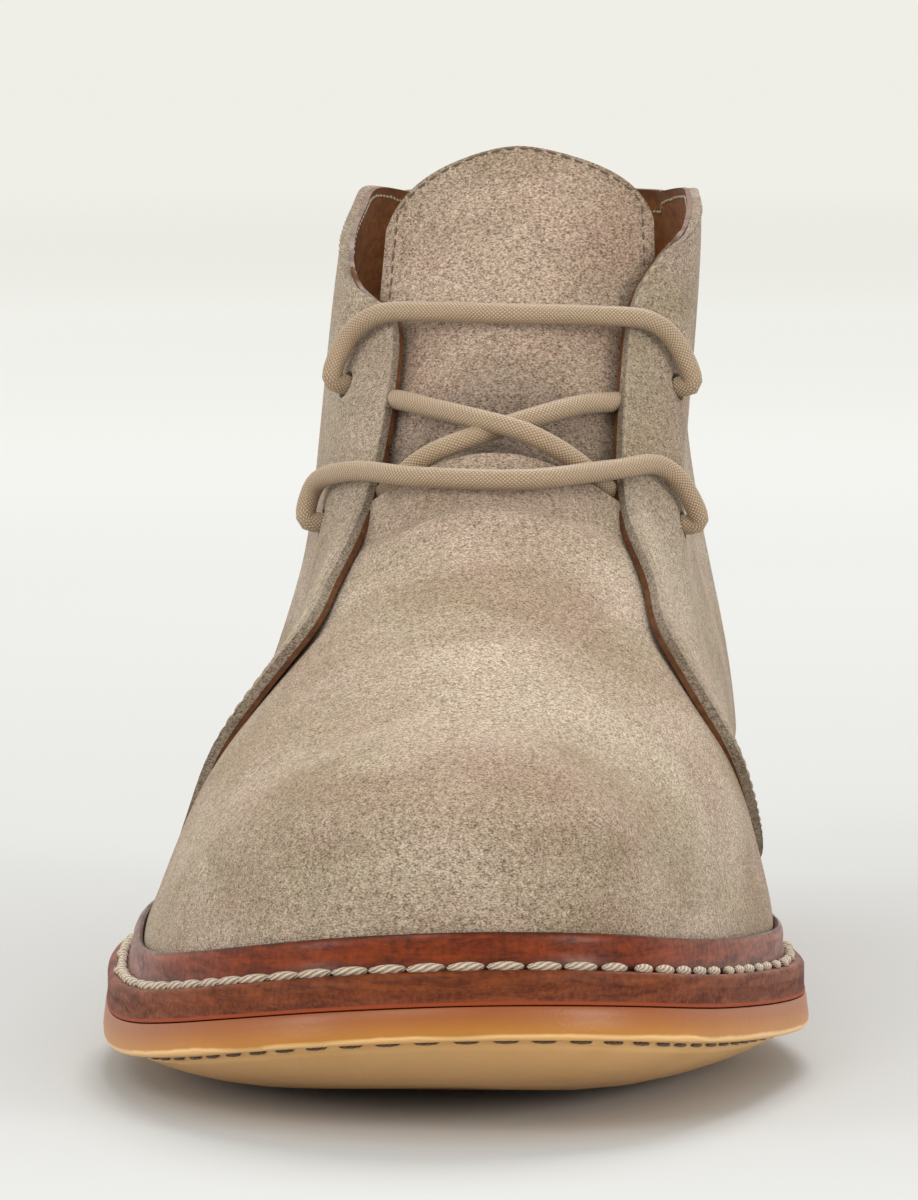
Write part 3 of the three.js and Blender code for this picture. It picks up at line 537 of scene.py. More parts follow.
def new_material(name):
    material = bpy.data.materials.new(name)
    material.use_nodes = True
    return material, material.node_tree, material.node_tree.nodes["Principled BSDF"]


def finish_material(tree, surface, base, roughness, height=None, strength=0.5, distance=0.0003, **fixed):
    tree.links.new(base, surface.inputs["Base Color"])
    if isinstance(roughness, bpy.types.NodeSocket):
        tree.links.new(roughness, surface.inputs["Roughness"])
    else:
        surface.inputs["Roughness"].default_value = roughness
    if height is not None:
        bump = node(tree, "Bump", {"Height": height, "Strength": strength, "Distance": distance})
        tree.links.new(bump.outputs[0], surface.inputs["Normal"])
    for title, value in fixed.items():
        surface.inputs[title.replace("_", " ").title().replace("Ior", "IOR")].default_value = value


# %% [markdown]
# Suede is the flesh side of leather, brushed up to a nap. Close up it is a mass of short fibres, some pale
# and some dark; from further away it shows cloudy patches where the nap was stroked. The nap and the clouds
# are groups, because the vamp, the quarters and the tongue all use them with values of their own.

# %% Nap and cloud groups
nap_group, given, put = new_group("suede nap", {"Grain": 3300.0, "Contrast": 1.0}, ["Tone", "Height"])
fibres = noise(nap_group, on_object(nap_group, (0.8, 0.8, 1.35)), given["Grain"], 3.0, 0.65, 0.35)
tufts = noise(nap_group, on_object(nap_group, (1, 1, 1.2), (3, 1, 2)), 1100.0, 2.0, 0.6)
mixed = sums(nap_group, "MULTIPLY_ADD", tufts, 0.3, sums(nap_group, "MULTIPLY", fibres, 1.0))
centred = sums(nap_group, "MULTIPLY_ADD", sums(nap_group, "SUBTRACT", mixed, 0.65), given["Contrast"], 0.5)
nap_group.links.new(spread(nap_group, centred, 0.32, 0.68), put["Tone"])
nap_group.links.new(mixed, put["Height"])

cloud_group, given, put = new_group("stroked clouds", {"Size": 32.0}, ["Light", "Hue"])
stroke = noise(cloud_group, on_object(cloud_group, (0.7, 1, 1.5)), given["Size"], 4.0, 0.55, 0.4)
hue = noise(cloud_group, on_object(cloud_group, (1, 1, 1.3), (5, 2, 7)), 46.0, 3.0, 0.6, 0.5)
cloud_group.links.new(spread(cloud_group, stroke, 0.34, 0.66), put["Light"])
cloud_group.links.new(spread(cloud_group, hue, 0.36, 0.64), put["Hue"])
print("groups:", [group.name for group in bpy.data.node_groups])


# %% Suede
def suede(name, dark, light, pink, olive, grain=3300.0, contrast=1.0):
    material, tree, surface = new_material(name)
    clouds = use_group(tree, cloud_group)
    nap = use_group(tree, nap_group, Grain=grain, Contrast=contrast)
    light_share = sums(tree, "MULTIPLY_ADD", attribute(tree, "tone"), 0.5, clouds["Light"])
    base = blend(tree, light_share, colour(dark), colour(light))
    tinted = blend(tree, clouds["Hue"], colour(pink), colour(olive))
    base = blend(tree, 0.38, base, tinted)
    flecks = blend(tree, nap["Tone"], (0.3, 0.26, 0.22, 1), (1.62, 1.66, 1.68, 1))
    base = darkened_by_painted_shade(tree, blend(tree, 1.0, base, flecks, "MULTIPLY"), 0.55)
    finish_material(tree, surface, base, 0.95, nap["Height"], 0.9, 0.0007, sheen_weight=0.12,
                    sheen_roughness=0.5, specular_ior_level=0.1)
    return material


vamp_suede = suede("vamp_suede", "947D63", "C3B29E", "BA9D8F", "AA987E")
quarter_suede = suede("quarter_suede", "927D65", "C0B09D", "B89D90", "A7967C")
tongue_suede = suede("tongue_suede", "957C65", "C6B19D", "C3A496", "AB9885", 2900.0, 1.05)
cut_edge = suede("suede_cut_edge", "4E3826", "7D5C42", "70523C", "604832", 2000.0, 1.4)
print("suedes made")

# %% [markdown]
# The welt, the rand and the midsole are brown veg-tanned leather: glossy where it was burnished, fibrous
# where it was cut. One grain group gives pores and fibres to all of them and to the lining.

# %% Leather
grain_group, given, put = new_group("leather grain", {"Pores": 900.0, "Streak": 1.0}, ["Tone", "Height"])
pores = noise(grain_group, on_object(grain_group), given["Pores"], 3.0, 0.6)
streaks = noise(grain_group, on_object(grain_group, (0.5, 0.6, 3)), 190.0, 4.0, 0.65, 0.5)
tone = sums(grain_group, "MULTIPLY_ADD", streaks, given["Streak"], sums(grain_group, "MULTIPLY", pores, 0.6))
grain_group.links.new(spread(grain_group, tone, 0.54, 1.06), put["Tone"])
grain_group.links.new(pores, put["Height"])


def leather(name, dark, light, roughness, coat, pores=900.0, strength=0.25, gloss=0.16):
    material, tree, surface = new_material(name)
    grain = use_group(tree, grain_group, Pores=pores)
    base = blend(tree, grain["Tone"], colour(dark), colour(light))
    base = blend(tree, attribute(tree, "foot"), base, colour("8A3A1A"))
    base = darkened_by_painted_shade(tree, base, 0.35)
    rough = spread(tree, grain["Tone"], 0.0, 1.0, roughness + 0.12, roughness - 0.06)
    finish_material(tree, surface, base, rough, grain["Height"], strength, 0.0002, coat_weight=coat,
                    coat_roughness=0.2, specular_ior_level=gloss)
    return material


rand_leather = leather("rand_leather", "401404", "8C3A12", 0.32, 0.06)
welt_leather = leather("welt_leather", "401606", "80401C", 0.48, 0.0)
stack_leather = leather("stack_leather", "3E1608", "7E3F20", 0.55, 0.0, 1500.0, 0.5)
lining_leather = leather("lining_leather", "54301A", "87552F", 0.5, 0.03)
lining_edge = leather("lining_edge", "6E3414", "A05826", 0.75, 0.0, gloss=0.02)
insole_leather = leather("insole_leather", "8C6239", "B48A56", 0.6, 0.0)
print("leathers made")


# %% Thread
def thread(name, dark, light):
    material, tree, surface = new_material(name)
    place = node(tree, "UVMap", uv_map="UVMap").outputs[0]
    twist = node(tree, "TexWave", {"Vector": place, "Scale": 3.2, "Distortion": 1.5, "Detail": 3.0},
                 wave_type="BANDS", bands_direction="DIAGONAL").outputs["Fac"]
    fibre = noise(tree, on_object(tree), 3500.0, 2.0, 0.6)
    share = sums(tree, "MULTIPLY_ADD", twist, 0.6, sums(tree, "MULTIPLY", fibre, 0.5))
    # The colour follows the twist's height: painted shade in the grooves between the plies, paler on the
    # ridges.
    base = blend(tree, spread(tree, share, 0.15, 0.85), colour(dark), colour(light))
    finish_material(tree, surface, base, 0.9, share, 0.8, 0.0003, sheen_weight=0.2)
    return material


welt_thread = thread("welt_thread", "75604E", "CDBBA5")
panel_thread = thread("panel_thread", "8A775C", "C9B898")
dark_thread = thread("dark_thread", "4A3826", "7A6448")
print("threads made")

# %% Floor paper
paper_shades = ((0.03, 0.452), (0.075, 0.472), (0.1, 0.503), (0.175, 0.645), (0.26, 0.822), (0.43, 0.941))
paper, tree, surface = new_material("floor_paper")
place = on_object(tree, location=(-0.1, -0.45, 0))
away = node(tree, "VectorMath", {0: place}, operation="LENGTH").outputs["Value"]
ramp = node(tree, "ValToRGB", {"Fac": spread(tree, away, 0.0, 6.0)})
stops = ramp.color_ramp.elements
stops[0].position, stops[0].color = 0.0, (0.447, 0.447, 0.447, 1)
stops[1].position, stops[1].color = 1.0, (0.958, 0.958, 0.958, 1)
for position, shade in paper_shades:
    stops.new(position).color = (shade, shade, shade, 1)
finish_material(tree, surface, ramp.outputs["Color"], 0.9, specular_ior_level=0.0)
floor.data.materials.append(paper)
print("floor laid with paper")

# %% [markdown]
# The vamp is one piece of suede from the toe back over the instep, ending in a rounded apex above the
# tongue and running on under both quarters. It is a grid over the last from one side round the toe to the
# other, raised or lowered a little where the leather creases, then given its thickness.

# %% Creases, stroked places and painted light on the vamp
Crease = namedtuple("Crease", "x y reach bend width depth")
crease_rows = [
    Crease(3, -31.5, 20, 0.012, 2.6, -1.0), Crease(3, -36.5, 21, 0.012, 3.4, 0.5),
    Crease(-18, -47, 13, 0.01, 4.5, -0.28), Crease(22, -50, 12, 0.012, 4.5, -0.25),
]
Patch = namedtuple("Patch", "x y wide long shade")
patch_rows = [
    Patch(8, -58, 17, 10, -0.8), Patch(-16, -66, 14, 10, 0.3), Patch(-22, -40, 9, 9, 0.7),
    Patch(26, -48, 7, 14, 0.9), Patch(12, -38, 12, 6, 0.35), Patch(0, -84, 22, 9, 0.5),
    Patch(-10, -104, 12, 7, -0.45), Patch(30, -96, 12, 14, 0.4), Patch(8, -128, 26, 9, -0.3),
    Patch(-34, -92, 9, 22, 0.35), Patch(0, -144, 30, 5, 0.35), Patch(20, -112, 10, 8, -0.4),
    # The last three patches are painted light: painted shade over the upper vamp, and painted light on the
    # toe's two sides.
    Patch(0, -55, 45, 24, -0.35), Patch(-46, -105, 16, 26, 0.45), Patch(46, -105, 16, 26, 0.35),
]


def crease_height(point):
    total = 0
    for crease in crease_rows:
        across = point.x - crease.x
        off = point.y - (crease.y + crease.bend * across * across)
        total += crease.depth * math.exp(-(off / crease.width) ** 2 - (across / crease.reach) ** 4)
    return total


PATCH_STRENGTH = 1.3


# Sums the patches into the suede's tone: stroked nap, with painted light and shade from the last three rows.
def stroked(point):
    total = 0
    for patch in patch_rows:
        off = ((point.x - patch.x) / patch.wide) ** 2 + ((point.y - patch.y) / patch.long) ** 2
        total += PATCH_STRENGTH * patch.shade * math.exp(-off)
    return total


# %% Vamp
def stations_between(first, last, count):
    return [first + (last - first) * k / count for k in range(count + 1)]


vamp_half = stations_between(9.4, 7.9, 32)[:-1] + stations_between(7.9, 7.4, 40)[:-1]
vamp_half += stations_between(7.4, 0, 96)
vamp_places = [(-1, s) for s in vamp_half] + [(1, s) for s in reversed(vamp_half[:-1])]
VAMP_ROWS = 56


def vamp_top(side, station):
    along = along_of(wall_at(side, station).foot)
    if along <= NOTCH:
        return opening_up(side, station)
    return up_at_height(side, station, rim_height(side, NOTCH) - 0.5 * (along - NOTCH) * SOLE_LENGTH)


vamp_tops = [vamp_top(*place) for place in vamp_places]


def vamp_spot(i, j):
    side, station = vamp_places[i]
    up = vamp_tops[i] * j / VAMP_ROWS
    point = last_point(side, station, up, 0)
    return last_point(side, station, up, crease_height(point))


# Painted shade: the vamp is darker in the crevice just above the rand.
def vamp_painted_shade(i, j):
    near_foot = 1 - j / VAMP_ROWS * 30
    return clamp(near_foot) * 0.5


vamp = laid_sheet("vamp", len(vamp_places) - 1, VAMP_ROWS, vamp_spot,
                  {"tone": lambda i, j: stroked(vamp_spot(i, j)), "painted_shade": vamp_painted_shade})
thicken(vamp, 1.1, 1, 2)
belongs(vamp, "suede", vamp_suede, cut_edge, lining_leather, stands_for=["upper"])

# %% [markdown]
# Each quarter is a suede panel that laps over the vamp, from its curved front edge round to the seam at the
# back of the heel. It is a grid too: its first column is the front edge, its last one the back seam, its
# top row the throat and the collar. In front it stands a little off the vamp, so the cut edge throws a
# shadow.

# %% The quarter's front edge
def smooth_path(points, steps=16):
    ends = [points[0] * 2 - points[1]] + list(points) + [points[-1] * 2 - points[-2]]
    path = []
    for a, b, c, d in zip(ends, ends[1:], ends[2:], ends[3:]):
        first, second, third = [max((q - p).length ** 0.5, 1e-3) for p, q in ((a, b), (b, c), (c, d))]
        leave = ((b - a) / first - (c - a) / (first + second) + (c - b) / second) * second
        arrive = ((c - b) / second - (d - b) / (second + third) + (d - c) / third) * second
        for k in range(steps):
            t = k / steps
            path.append(b + leave * t + (c * 3 - b * 3 - leave * 2 - arrive) * t * t
                        + (b * 2 - c * 2 + leave + arrive) * t ** 3)
    return path + [points[-1]]


def at_length(path, share):
    lengths = [0]
    for a, b in zip(path, path[1:]):
        lengths.append(lengths[-1] + (b - a).length)
    target = share * lengths[-1]
    k = next((k for k in range(1, len(path)) if lengths[k] >= target), len(path) - 1)
    t = (target - lengths[k - 1]) / max(lengths[k] - lengths[k - 1], 1e-9)
    return path[k - 1].lerp(path[k], clamp(t))


# Below the throat the quarter is measured against a line that runs on from the notch.
def quarter_top(side, station):
    along = along_of(wall_at(side, station).foot)
    if along >= NOTCH:
        return opening_up(side, station)
    notch = rim_height(side, NOTCH)
    return up_at_height(side, station, notch + 0.35 * (along - NOTCH) * SOLE_LENGTH)


front_points = [Vector((r.along * SOLE_LENGTH, r.height * UPPER_HEIGHT, r.stand)) for r in quarter_rows]
front_points += [Vector((r.along * SOLE_LENGTH, r.medial * UPPER_HEIGHT, 0))
                 for r in opening_rows if r.along < 0.1]
front_path = smooth_path(front_points)
QUARTER_FOOT = RAND_HEIGHT - 0.4
fronts = {}


def quarter_front(side, level):
    key = (side, round(level, 4))
    if key not in fronts:
        mark = at_length(front_path, level)
        station = station_at(side, mark.x / SOLE_LENGTH)
        foot = up_at_height(side, station, wall_at(side, station).foot.z + QUARTER_FOOT)
        top = quarter_top(side, station)
        share = (min(up_at_height(side, station, mark.y), top) - foot) / (top - foot)
        fronts[key] = (station, max(share, 0), clamp(mark.z))
    return fronts[key]


def quarter_place(side, share, level):
    front, front_share, loose = quarter_front(side, level)
    station = round(front + (LAST_STATION - front) * share, 3)
    foot = up_at_height(side, station, wall_at(side, station).foot.z + QUARTER_FOOT)
    rise = front_share + (level - front_share) * share ** 0.8
    up = foot + (quarter_top(side, station) - foot) * rise
    free = loose * (1 - smooth((station - front) * 24, 4, 16))
    return station, up, free


def quarter_point(side, share, level, deeper=0.0):
    station, up, free = quarter_place(side, share, level)
    low = last_point(side, station, up, 0).z - wall_at(side, station).foot.z - QUARTER_FOOT
    outer = LAP * (0.5 + 0.5 * smooth(low, 0, 5)) + free * STAND_OFF
    seam = 0.5 * math.exp(-((LAST_STATION - station) / 0.06) ** 2)
    return last_point(side, station, up, outer - seam - deeper)


print("front edge:", len(front_path), "points")

# %% Quarters and their lining
QUARTER_COLUMNS, QUARTER_ROWS = 100, 60
SUEDE_THICKNESS, LINING_THICKNESS, LINING_PROUD = 1.5, 0.8, 0.5


def quarter_sheet(name, side, deeper, proud):
    def share_of(i):
        return ((QUARTER_COLUMNS - i if side < 0 else i) / QUARTER_COLUMNS) ** 1.3

    def spot(i, j):
        share, level = share_of(i), j / QUARTER_ROWS
        point = quarter_point(side, share, level, deeper)
        if proud and share == 0:
            point += (point - quarter_point(side, 0.01, level, deeper)).normalized() * proud
        if proud and j == QUARTER_ROWS:
            point += (point - quarter_point(side, share, 0.99, deeper)).normalized() * proud
        return point

    def tone(i, j):
        point = spot(i, j)
        return 0.3 + 0.5 * math.sin(point.y * 0.11 + point.z * 0.05) * math.sin(point.z * 0.09 + side)

    # Painted shade in the crevice at the rand; the quarter is also darkened along its front edge and its top
    # rim.
    def painted_shade(i, j):
        front = 0.55 * clamp(1 - share_of(i) / 0.012)
        return max(front, 0.5 * clamp(1 - j / 3), 0.5 * clamp((j - QUARTER_ROWS + 2) / 2))

    return laid_sheet(name, QUARTER_COLUMNS, QUARTER_ROWS, spot, {"tone": tone, "painted_shade": painted_shade})


quarters, linings = {}, {}
for side, word in ((-1, "lateral"), (1, "medial")):
    quarters[side] = thicken(quarter_sheet(word + "_quarter", side, 0, 0), SUEDE_THICKNESS, 1, 1)
    linings[side] = thicken(quarter_sheet(word + "_quarter_lining", side, SUEDE_THICKNESS, LINING_PROUD),
                            LINING_THICKNESS, 1, 0)

# %% [markdown]
# The eyelets are plain holes punched through suede and lining, with no metal. A cylinder is placed along
# the leather's normal and taken out with a Boolean, as a punch would do it.

# %% Eyelet holes
Eyelet = namedtuple("Eyelet", "along height")
eyelets = [Eyelet(0.028, 0.811), Eyelet(-0.02, 0.641)]


def eyelet_place(side, row, offset):
    station = station_at(side, row.along)
    return last_point(side, station, up_at_height(side, station, row.height * UPPER_HEIGHT), offset)


for side in (-1, 1):
    for row in eyelets:
        inner, outer = eyelet_place(side, row, -4), eyelet_place(side, row, 6)
        bpy.ops.object.select_all(action="DESELECT")
        bpy.ops.mesh.primitive_cylinder_add(vertices=32, radius=EYELET / 2 * MM, depth=0.01)
        punch = bpy.context.object
        turn = (outer - inner).to_track_quat("Z", "Y").to_matrix().to_4x4()
        punch.data.transform(Matrix.Translation((inner + outer) / 2 * MM) @ turn)
        for piece in (quarters[side], linings[side]):
            finish_with(piece, "BOOLEAN", operation="DIFFERENCE", object=punch, solver="EXACT")
        bpy.data.objects.remove(punch)

for side in (-1, 1):
    belongs(quarters[side], "suede", quarter_suede, cut_edge, stands_for=["upper"])
    belongs(linings[side], "lining_leather", lining_leather, lining_edge)

# %% [markdown]
# The tongue is two layers of suede sewn together, with a rounded top. Each layer is a grid that follows the
# last just inside the quarters; the under layer is cut a little smaller, so both edges show.

# %% Tongue
Tongue = namedtuple("Tongue", "along half")
tongue_rows = [
    Tongue(-0.13, 0.3), Tongue(-0.08, 0.36), Tongue(-0.04, 0.4), Tongue(0, 0.42), Tongue(0.03, 0.395),
    Tongue(0.05, 0.375), Tongue(0.0605, 0.35),
]
TONGUE_FOOT, TONGUE_TOP, CORNER_FALL = -0.13, 0.0605, 0.017
TONGUE_COLUMNS, TONGUE_STEPS = 48, 72


def tongue_point(across, share, deeper=0.0, smaller=0.0):
    top = TONGUE_TOP - CORNER_FALL * (1 - math.sqrt(1 - 0.97 * across * across)) - smaller / SOLE_LENGTH
    along = top + (TONGUE_FOOT - top) * (1 - share) ** 1.5
    half = read_table(tongue_rows, lambda r: r.half, along) * TONGUE_WIDTH - smaller
    spine = read_table(last_rows, lambda r: r.spine, along) * BALL_WIDTH
    sunk = 1.2 * (1 - smooth(along, NOTCH, NOTCH / 2))
    sweep = (0.008 + 0.014 * share ** 4) * across * across
    low = share + 0.03 * across * across
    fold = 0.7 * math.exp(-((low - 0.41) / 0.022) ** 2) - 0.6 * math.exp(-((low - 0.37) / 0.025) ** 2)
    deeper += fold * (1 - across ** 4)
    return on_last(spine + across * half, along + sweep, -WALL - 0.7 - sunk - deeper)


def tongue_layer(name, deeper, smaller):
    def spot(i, j):
        return tongue_point(2 * i / TONGUE_COLUMNS - 1, j / TONGUE_STEPS, deeper, smaller)

    def tone(i, j):
        point = spot(i, j)
        return 0.5 * math.sin(point.x * 0.16 + 1) * math.sin(point.z * 0.12)

    # Painted shade: the tongue is darker at its rims and over its lower part, which lies under the laces and
    # the quarters.
    def painted_shade(i, j):
        rim = min(i, TONGUE_COLUMNS - i, TONGUE_STEPS - j)
        return max(0.5 * clamp(1 - rim / 2), 0.8 * clamp(1 - (j / TONGUE_STEPS - 0.35) / 0.12))

    return laid_sheet(name, TONGUE_COLUMNS, TONGUE_STEPS, spot, {"tone": tone, "painted_shade": painted_shade})


tongue = thicken(tongue_layer("tongue", 0, 0), 1.3, 1, 1)
tongue_back = thicken(tongue_layer("tongue_back", 1.35, 0.5), 1.2, 1, 0)
belongs(tongue, "suede", tongue_suede, cut_edge, stands_for=["tongue"])
belongs(tongue_back, "suede", tongue_suede, cut_edge)

# %% [markdown]
# The lace is one round waxed cord. A bar lies across at each pair of eyelets; two strands cross under the
# lower bar and run up inside the quarters. Each is a tube: a grid whose long side follows a smooth path and
# whose short side goes once round it. Its UV map then runs along the cord, which the braid needs.

# %% Braided cord
braid, tree, surface = new_material("waxed_braid")
place = node(tree, "UVMap", uv_map="UVMap").outputs[0]
mirrored = node(tree, "Mapping", {"Vector": place, "Scale": (1, -1, 1)}).outputs[0]
left, right = [node(tree, "TexWave", {"Vector": way, "Scale": 1.6, "Distortion": 0.5}, wave_type="BANDS",
                    bands_direction="DIAGONAL").outputs["Fac"] for way in (place, mirrored)]
weave = sums(tree, "MULTIPLY", left, right)
fuzz = noise(tree, on_object(tree), 2600.0, 2.0, 0.6)
height = sums(tree, "MULTIPLY_ADD", fuzz, 0.35, weave)
# The colour follows the weave's height: painted shade in the braid's grooves, paler on its ridges, with fuzz
# on top.
base = blend(tree, spread(tree, height, 0.05, 0.9), colour("77624B"), colour("C4A98A"))
finish_material(tree, surface, base, 0.6, height, 0.5, 0.0004, coat_weight=0.06, sheen_weight=0.1)


def tube(name, path, radius, round_steps=16):
    tangents = [(b - a).normalized() for a, b in zip([path[0]] + path[:-1], path[1:] + [path[-1]])]
    normal = tangents[0].orthogonal().normalized()
    frames = []
    for point, tangent in zip(path, tangents):
        normal = (normal - tangent * normal.dot(tangent)).normalized()
        frames.append((point, normal, tangent.cross(normal)))

    def spot(i, j):
        point, first, second = frames[i]
        angle = 2 * math.pi * j / round_steps
        return point + (first * math.cos(angle) + second * math.sin(angle)) * radius

    piece = laid_sheet(name, len(path) - 1, round_steps, spot)
    length = sum((b - a).length for a, b in zip(path, path[1:]))
    for corner in piece.data.uv_layers[0].data:
        corner.uv = (corner.uv.x * length / (2 * math.pi * radius) * 6.2832, corner.uv.y * 6.2832)
    in_edit_mode(piece, lambda: bpy.ops.mesh.fill_holes(sides=0))
    return face_outwards(piece)


Strand = namedtuple("Strand", "x height lift")


def strand_point(row):
    x = row.x * BALL_WIDTH
    along = solve(lambda share: on_last(x, share, 0).z, row.height * UPPER_HEIGHT, -0.2, 0.1)
    return on_last(x, along, row.lift)


def even_path(points, spacing):
    path = smooth_path(points)
    length = sum((b - a).length for a, b in zip(path, path[1:]))
    count = max(2, round(length / spacing))
    return [at_length(path, k / count) for k in range(count + 1)]


# %% The lace's rows
top_rows = [
    Strand(-0.172, 0.862, 3.7), Strand(-0.132, 0.892, 3.6), Strand(-0.062, 0.908, 1),
    Strand(0.05, 0.911, 0.2), Strand(0.165, 0.904, 1), Strand(0.232, 0.886, 3.5), Strand(0.262, 0.86, 3.6),
]
bottom_rows = [
    Strand(-0.205, 0.68, 3.8), Strand(-0.155, 0.696, 4), Strand(-0.06, 0.698, 2.9),
    Strand(0.075, 0.7, 2.3), Strand(0.19, 0.706, 2.9), Strand(0.245, 0.707, 3.6),
    Strand(0.272, 0.688, 3.6),
]
over_rows = [
    Strand(-0.17, 0.812, -2.6), Strand(-0.145, 0.806, -1.9), Strand(-0.108, 0.8, 0.2),
    Strand(-0.06, 0.792, 0.6), Strand(0.01, 0.776, 1.6), Strand(0.07, 0.757, 2.4),
    Strand(0.125, 0.736, 1.6), Strand(0.18, 0.712, -0.4), Strand(0.215, 0.695, -2.2),
    Strand(0.24, 0.68, -2.8),
]
under_rows = [
    Strand(0.245, 0.812, -2.6), Strand(0.222, 0.806, -1.9), Strand(0.19, 0.8, -0.2),
    Strand(0.155, 0.797, 0.4), Strand(0.095, 0.785, 0.5), Strand(-0.015, 0.752, 0.7),
    Strand(-0.06, 0.732, 0.9), Strand(-0.1, 0.71, 0.2), Strand(-0.14, 0.694, -1.8),
    Strand(-0.17, 0.68, -2.8),
]


def through(side, row, *offsets):
    return [eyelet_place(side, row, offset) for offset in offsets]


lace_top_path = (through(-1, eyelets[0], -3, 1, 3.6) + [strand_point(r) for r in top_rows]
                 + through(1, eyelets[0], 3.6, 1, -3))
lace_low_path = (through(-1, eyelets[1], -3, 1, 3.6) + [strand_point(r) for r in bottom_rows]
                 + through(1, eyelets[1], 3.6, 1, -3))
lace_top = tube("lace_top_bar", even_path(lace_top_path, 0.9), LACE / 2)
lace_low = tube("lace_bottom_bar", even_path(lace_low_path, 0.9), LACE / 2)
lace_over = tube("lace_upper_strand", even_path([strand_point(r) for r in over_rows], 0.9), LACE / 2)
lace_under = tube("lace_lower_strand", even_path([strand_point(r) for r in under_rows], 0.9), LACE / 2)
belongs(lace_top, "waxed_lace", braid, stands_for=["lace_top_bar"])
belongs(lace_low, "waxed_lace", braid, stands_for=["lace_crossing"])
for strand in (lace_over, lace_under):
    belongs(strand, "waxed_lace", braid)

# %% [markdown]
# Under the upper come the rand, the welt, the midsole and the outsole. Each is a band round the whole boot:
# the grid's long side goes round the outline, its short side follows the band's own section, written as a
# short list of depths from the edge and heights.

# %% Bands round the sole
def fine_stations():
    front = stations_between(0, 4, 60)[:-1] + stations_between(4, 13, 110)[:-1]
    return front + stations_between(13, LAST_STATION, 56)


half_loop = fine_stations()
loop = [(-1, s) for s in half_loop] + [(1, s) for s in half_loop[-2:0:-1]]


def band(name, rows, place, measures=None):
    def spot(i, j):
        side, station = loop[i % len(loop)]
        return place(side, station, rows[j])

    reads = {title: (lambda i, j, pick=pick: pick(rows[j])) for title, pick in (measures or {}).items()}
    piece = face_outwards(laid_sheet(name, len(loop), len(rows) - 1, spot, reads))
    bpy.ops.object.shade_smooth_by_angle(angle=math.radians(40))
    return piece


Ring = namedtuple("Ring", "depth level camber")
MIDDLE = 999


def ring_place(side, station, ring):
    most = 1.0 if ring.depth == MIDDLE else 0.97
    rim = UNDER_RIM if ring.level < 1 else EVEN_RIM
    return plate_point(side, station, ring.depth, ring.level, ring.camber, most, rim)


# %% Rand
Lip = namedtuple("Lip", "out height")
rand_rows = [
    Lip(2.7, -0.1), Lip(2.45, 0.6), Lip(2.05, 1.6), Lip(1.8, 2.7), Lip(1.7, 3.8), Lip(1.5, 4.7),
    Lip(1.25, 5.15), Lip(0.85, 5.3), Lip(0.4, 5.1), Lip(0.1, 4.4), Lip(0.1, 0), Lip(2.7, -0.1),
]


def rand_place(side, station, lip):
    wall = wall_at(side, station)
    up = up_at_height(side, station, wall.foot.z + max(lip.height, 0))
    point = wall_point(wall, up) + wall.spoke * lip.out
    fall = plate_point(side, station, welt_reach(side, station) - lip.out, WELT_TOP, CAMBER).z - wall.foot.z
    point.z = wall.foot.z + lip.height + fall * (1 - smooth(lip.height, 0, 3))
    return point


# Painted shade in the crevices at the rand's foot and along its top, where it meets the welt and the suede.
def rand_painted_shade(lip):
    return max(clamp(1 - lip.height / 2), clamp((lip.height - 4.8) * 2), clamp((1 - lip.out) * 2))


rand = band("rand", rand_rows, rand_place, {"painted_shade": rand_painted_shade})
belongs(rand, "welt_leather", rand_leather, stands_for=["rand"])

# %% Welt and midsole
JOIN = (MIDSOLE_LEVEL + MIDSOLE + WELT_LEVEL) / 2
welt_rows = [
    Ring(1.2, JOIN, CAMBER), Ring(0.85, JOIN, CAMBER), Ring(0.85, WELT_TOP - 0.7, CAMBER),
    Ring(1.15, WELT_TOP - 0.25, CAMBER), Ring(1.6, WELT_TOP - 0.03, CAMBER), Ring(2.2, WELT_TOP, CAMBER),
    Ring(5.5, WELT_TOP, CAMBER), Ring(13, WELT_TOP, CAMBER), Ring(13, JOIN, CAMBER),
    Ring(1.2, JOIN, CAMBER),
]
welt = band("welt", welt_rows, ring_place)
belongs(welt, "welt_leather", welt_leather, stands_for=["welt"])

LOW = MIDSOLE_LEVEL - 0.15
midsole_rows = [
    Ring(MIDDLE, LOW, CAMBER), Ring(26, LOW, CAMBER), Ring(12, LOW, CAMBER), Ring(1.2, LOW, CAMBER),
    Ring(0.7, LOW + 0.1, CAMBER), Ring(0.7, LOW + 0.5, CAMBER), Ring(0.8, LOW + 0.7, CAMBER),
    Ring(0.85, LOW + 1.5, CAMBER), Ring(0.85, JOIN + 0.02, CAMBER), Ring(1.2, JOIN + 0.02, CAMBER),
    Ring(12, JOIN, CAMBER), Ring(26, JOIN, CAMBER), Ring(MIDDLE, JOIN, CAMBER),
]
midsole = band("midsole", midsole_rows, ring_place,
               {"foot": lambda ring: clamp((LOW + 0.6 - ring.level) / 0.1)})
belongs(midsole, "welt_leather", stack_leather, stands_for=["midsole"])

# %% [markdown]
# The outsole is translucent natural rubber. Light goes in at the edge, so it looks orange-brown under the
# leather, honey yellow in the middle and pale along the lower corner. This light is painted: a colour ramp
# over a height that is stored on the mesh, with a little subsurface scattering. The darker top is painted
# shade under the leather, the pale band along the lower corner is a painted highlight, and the pale underside
# is painted light. Under the sole, near its edge, runs a groove for the stitches.

# %% Amber rubber
amber, tree, surface = new_material("amber_rubber")
rise = attribute(tree, "rise")
cloud = noise(tree, on_object(tree, (1, 1, 2)), 60.0, 3.0, 0.6)
clouded = sums(tree, "MULTIPLY_ADD", sums(tree, "SUBTRACT", cloud, 0.5), 0.25, rise)
ramp = node(tree, "ValToRGB", {"Fac": clouded})
stops = ramp.color_ramp.elements
stops[0].position, stops[0].color = 0.0, colour("E2B276")
stops[1].position, stops[1].color = 1.0, colour("8A481C")
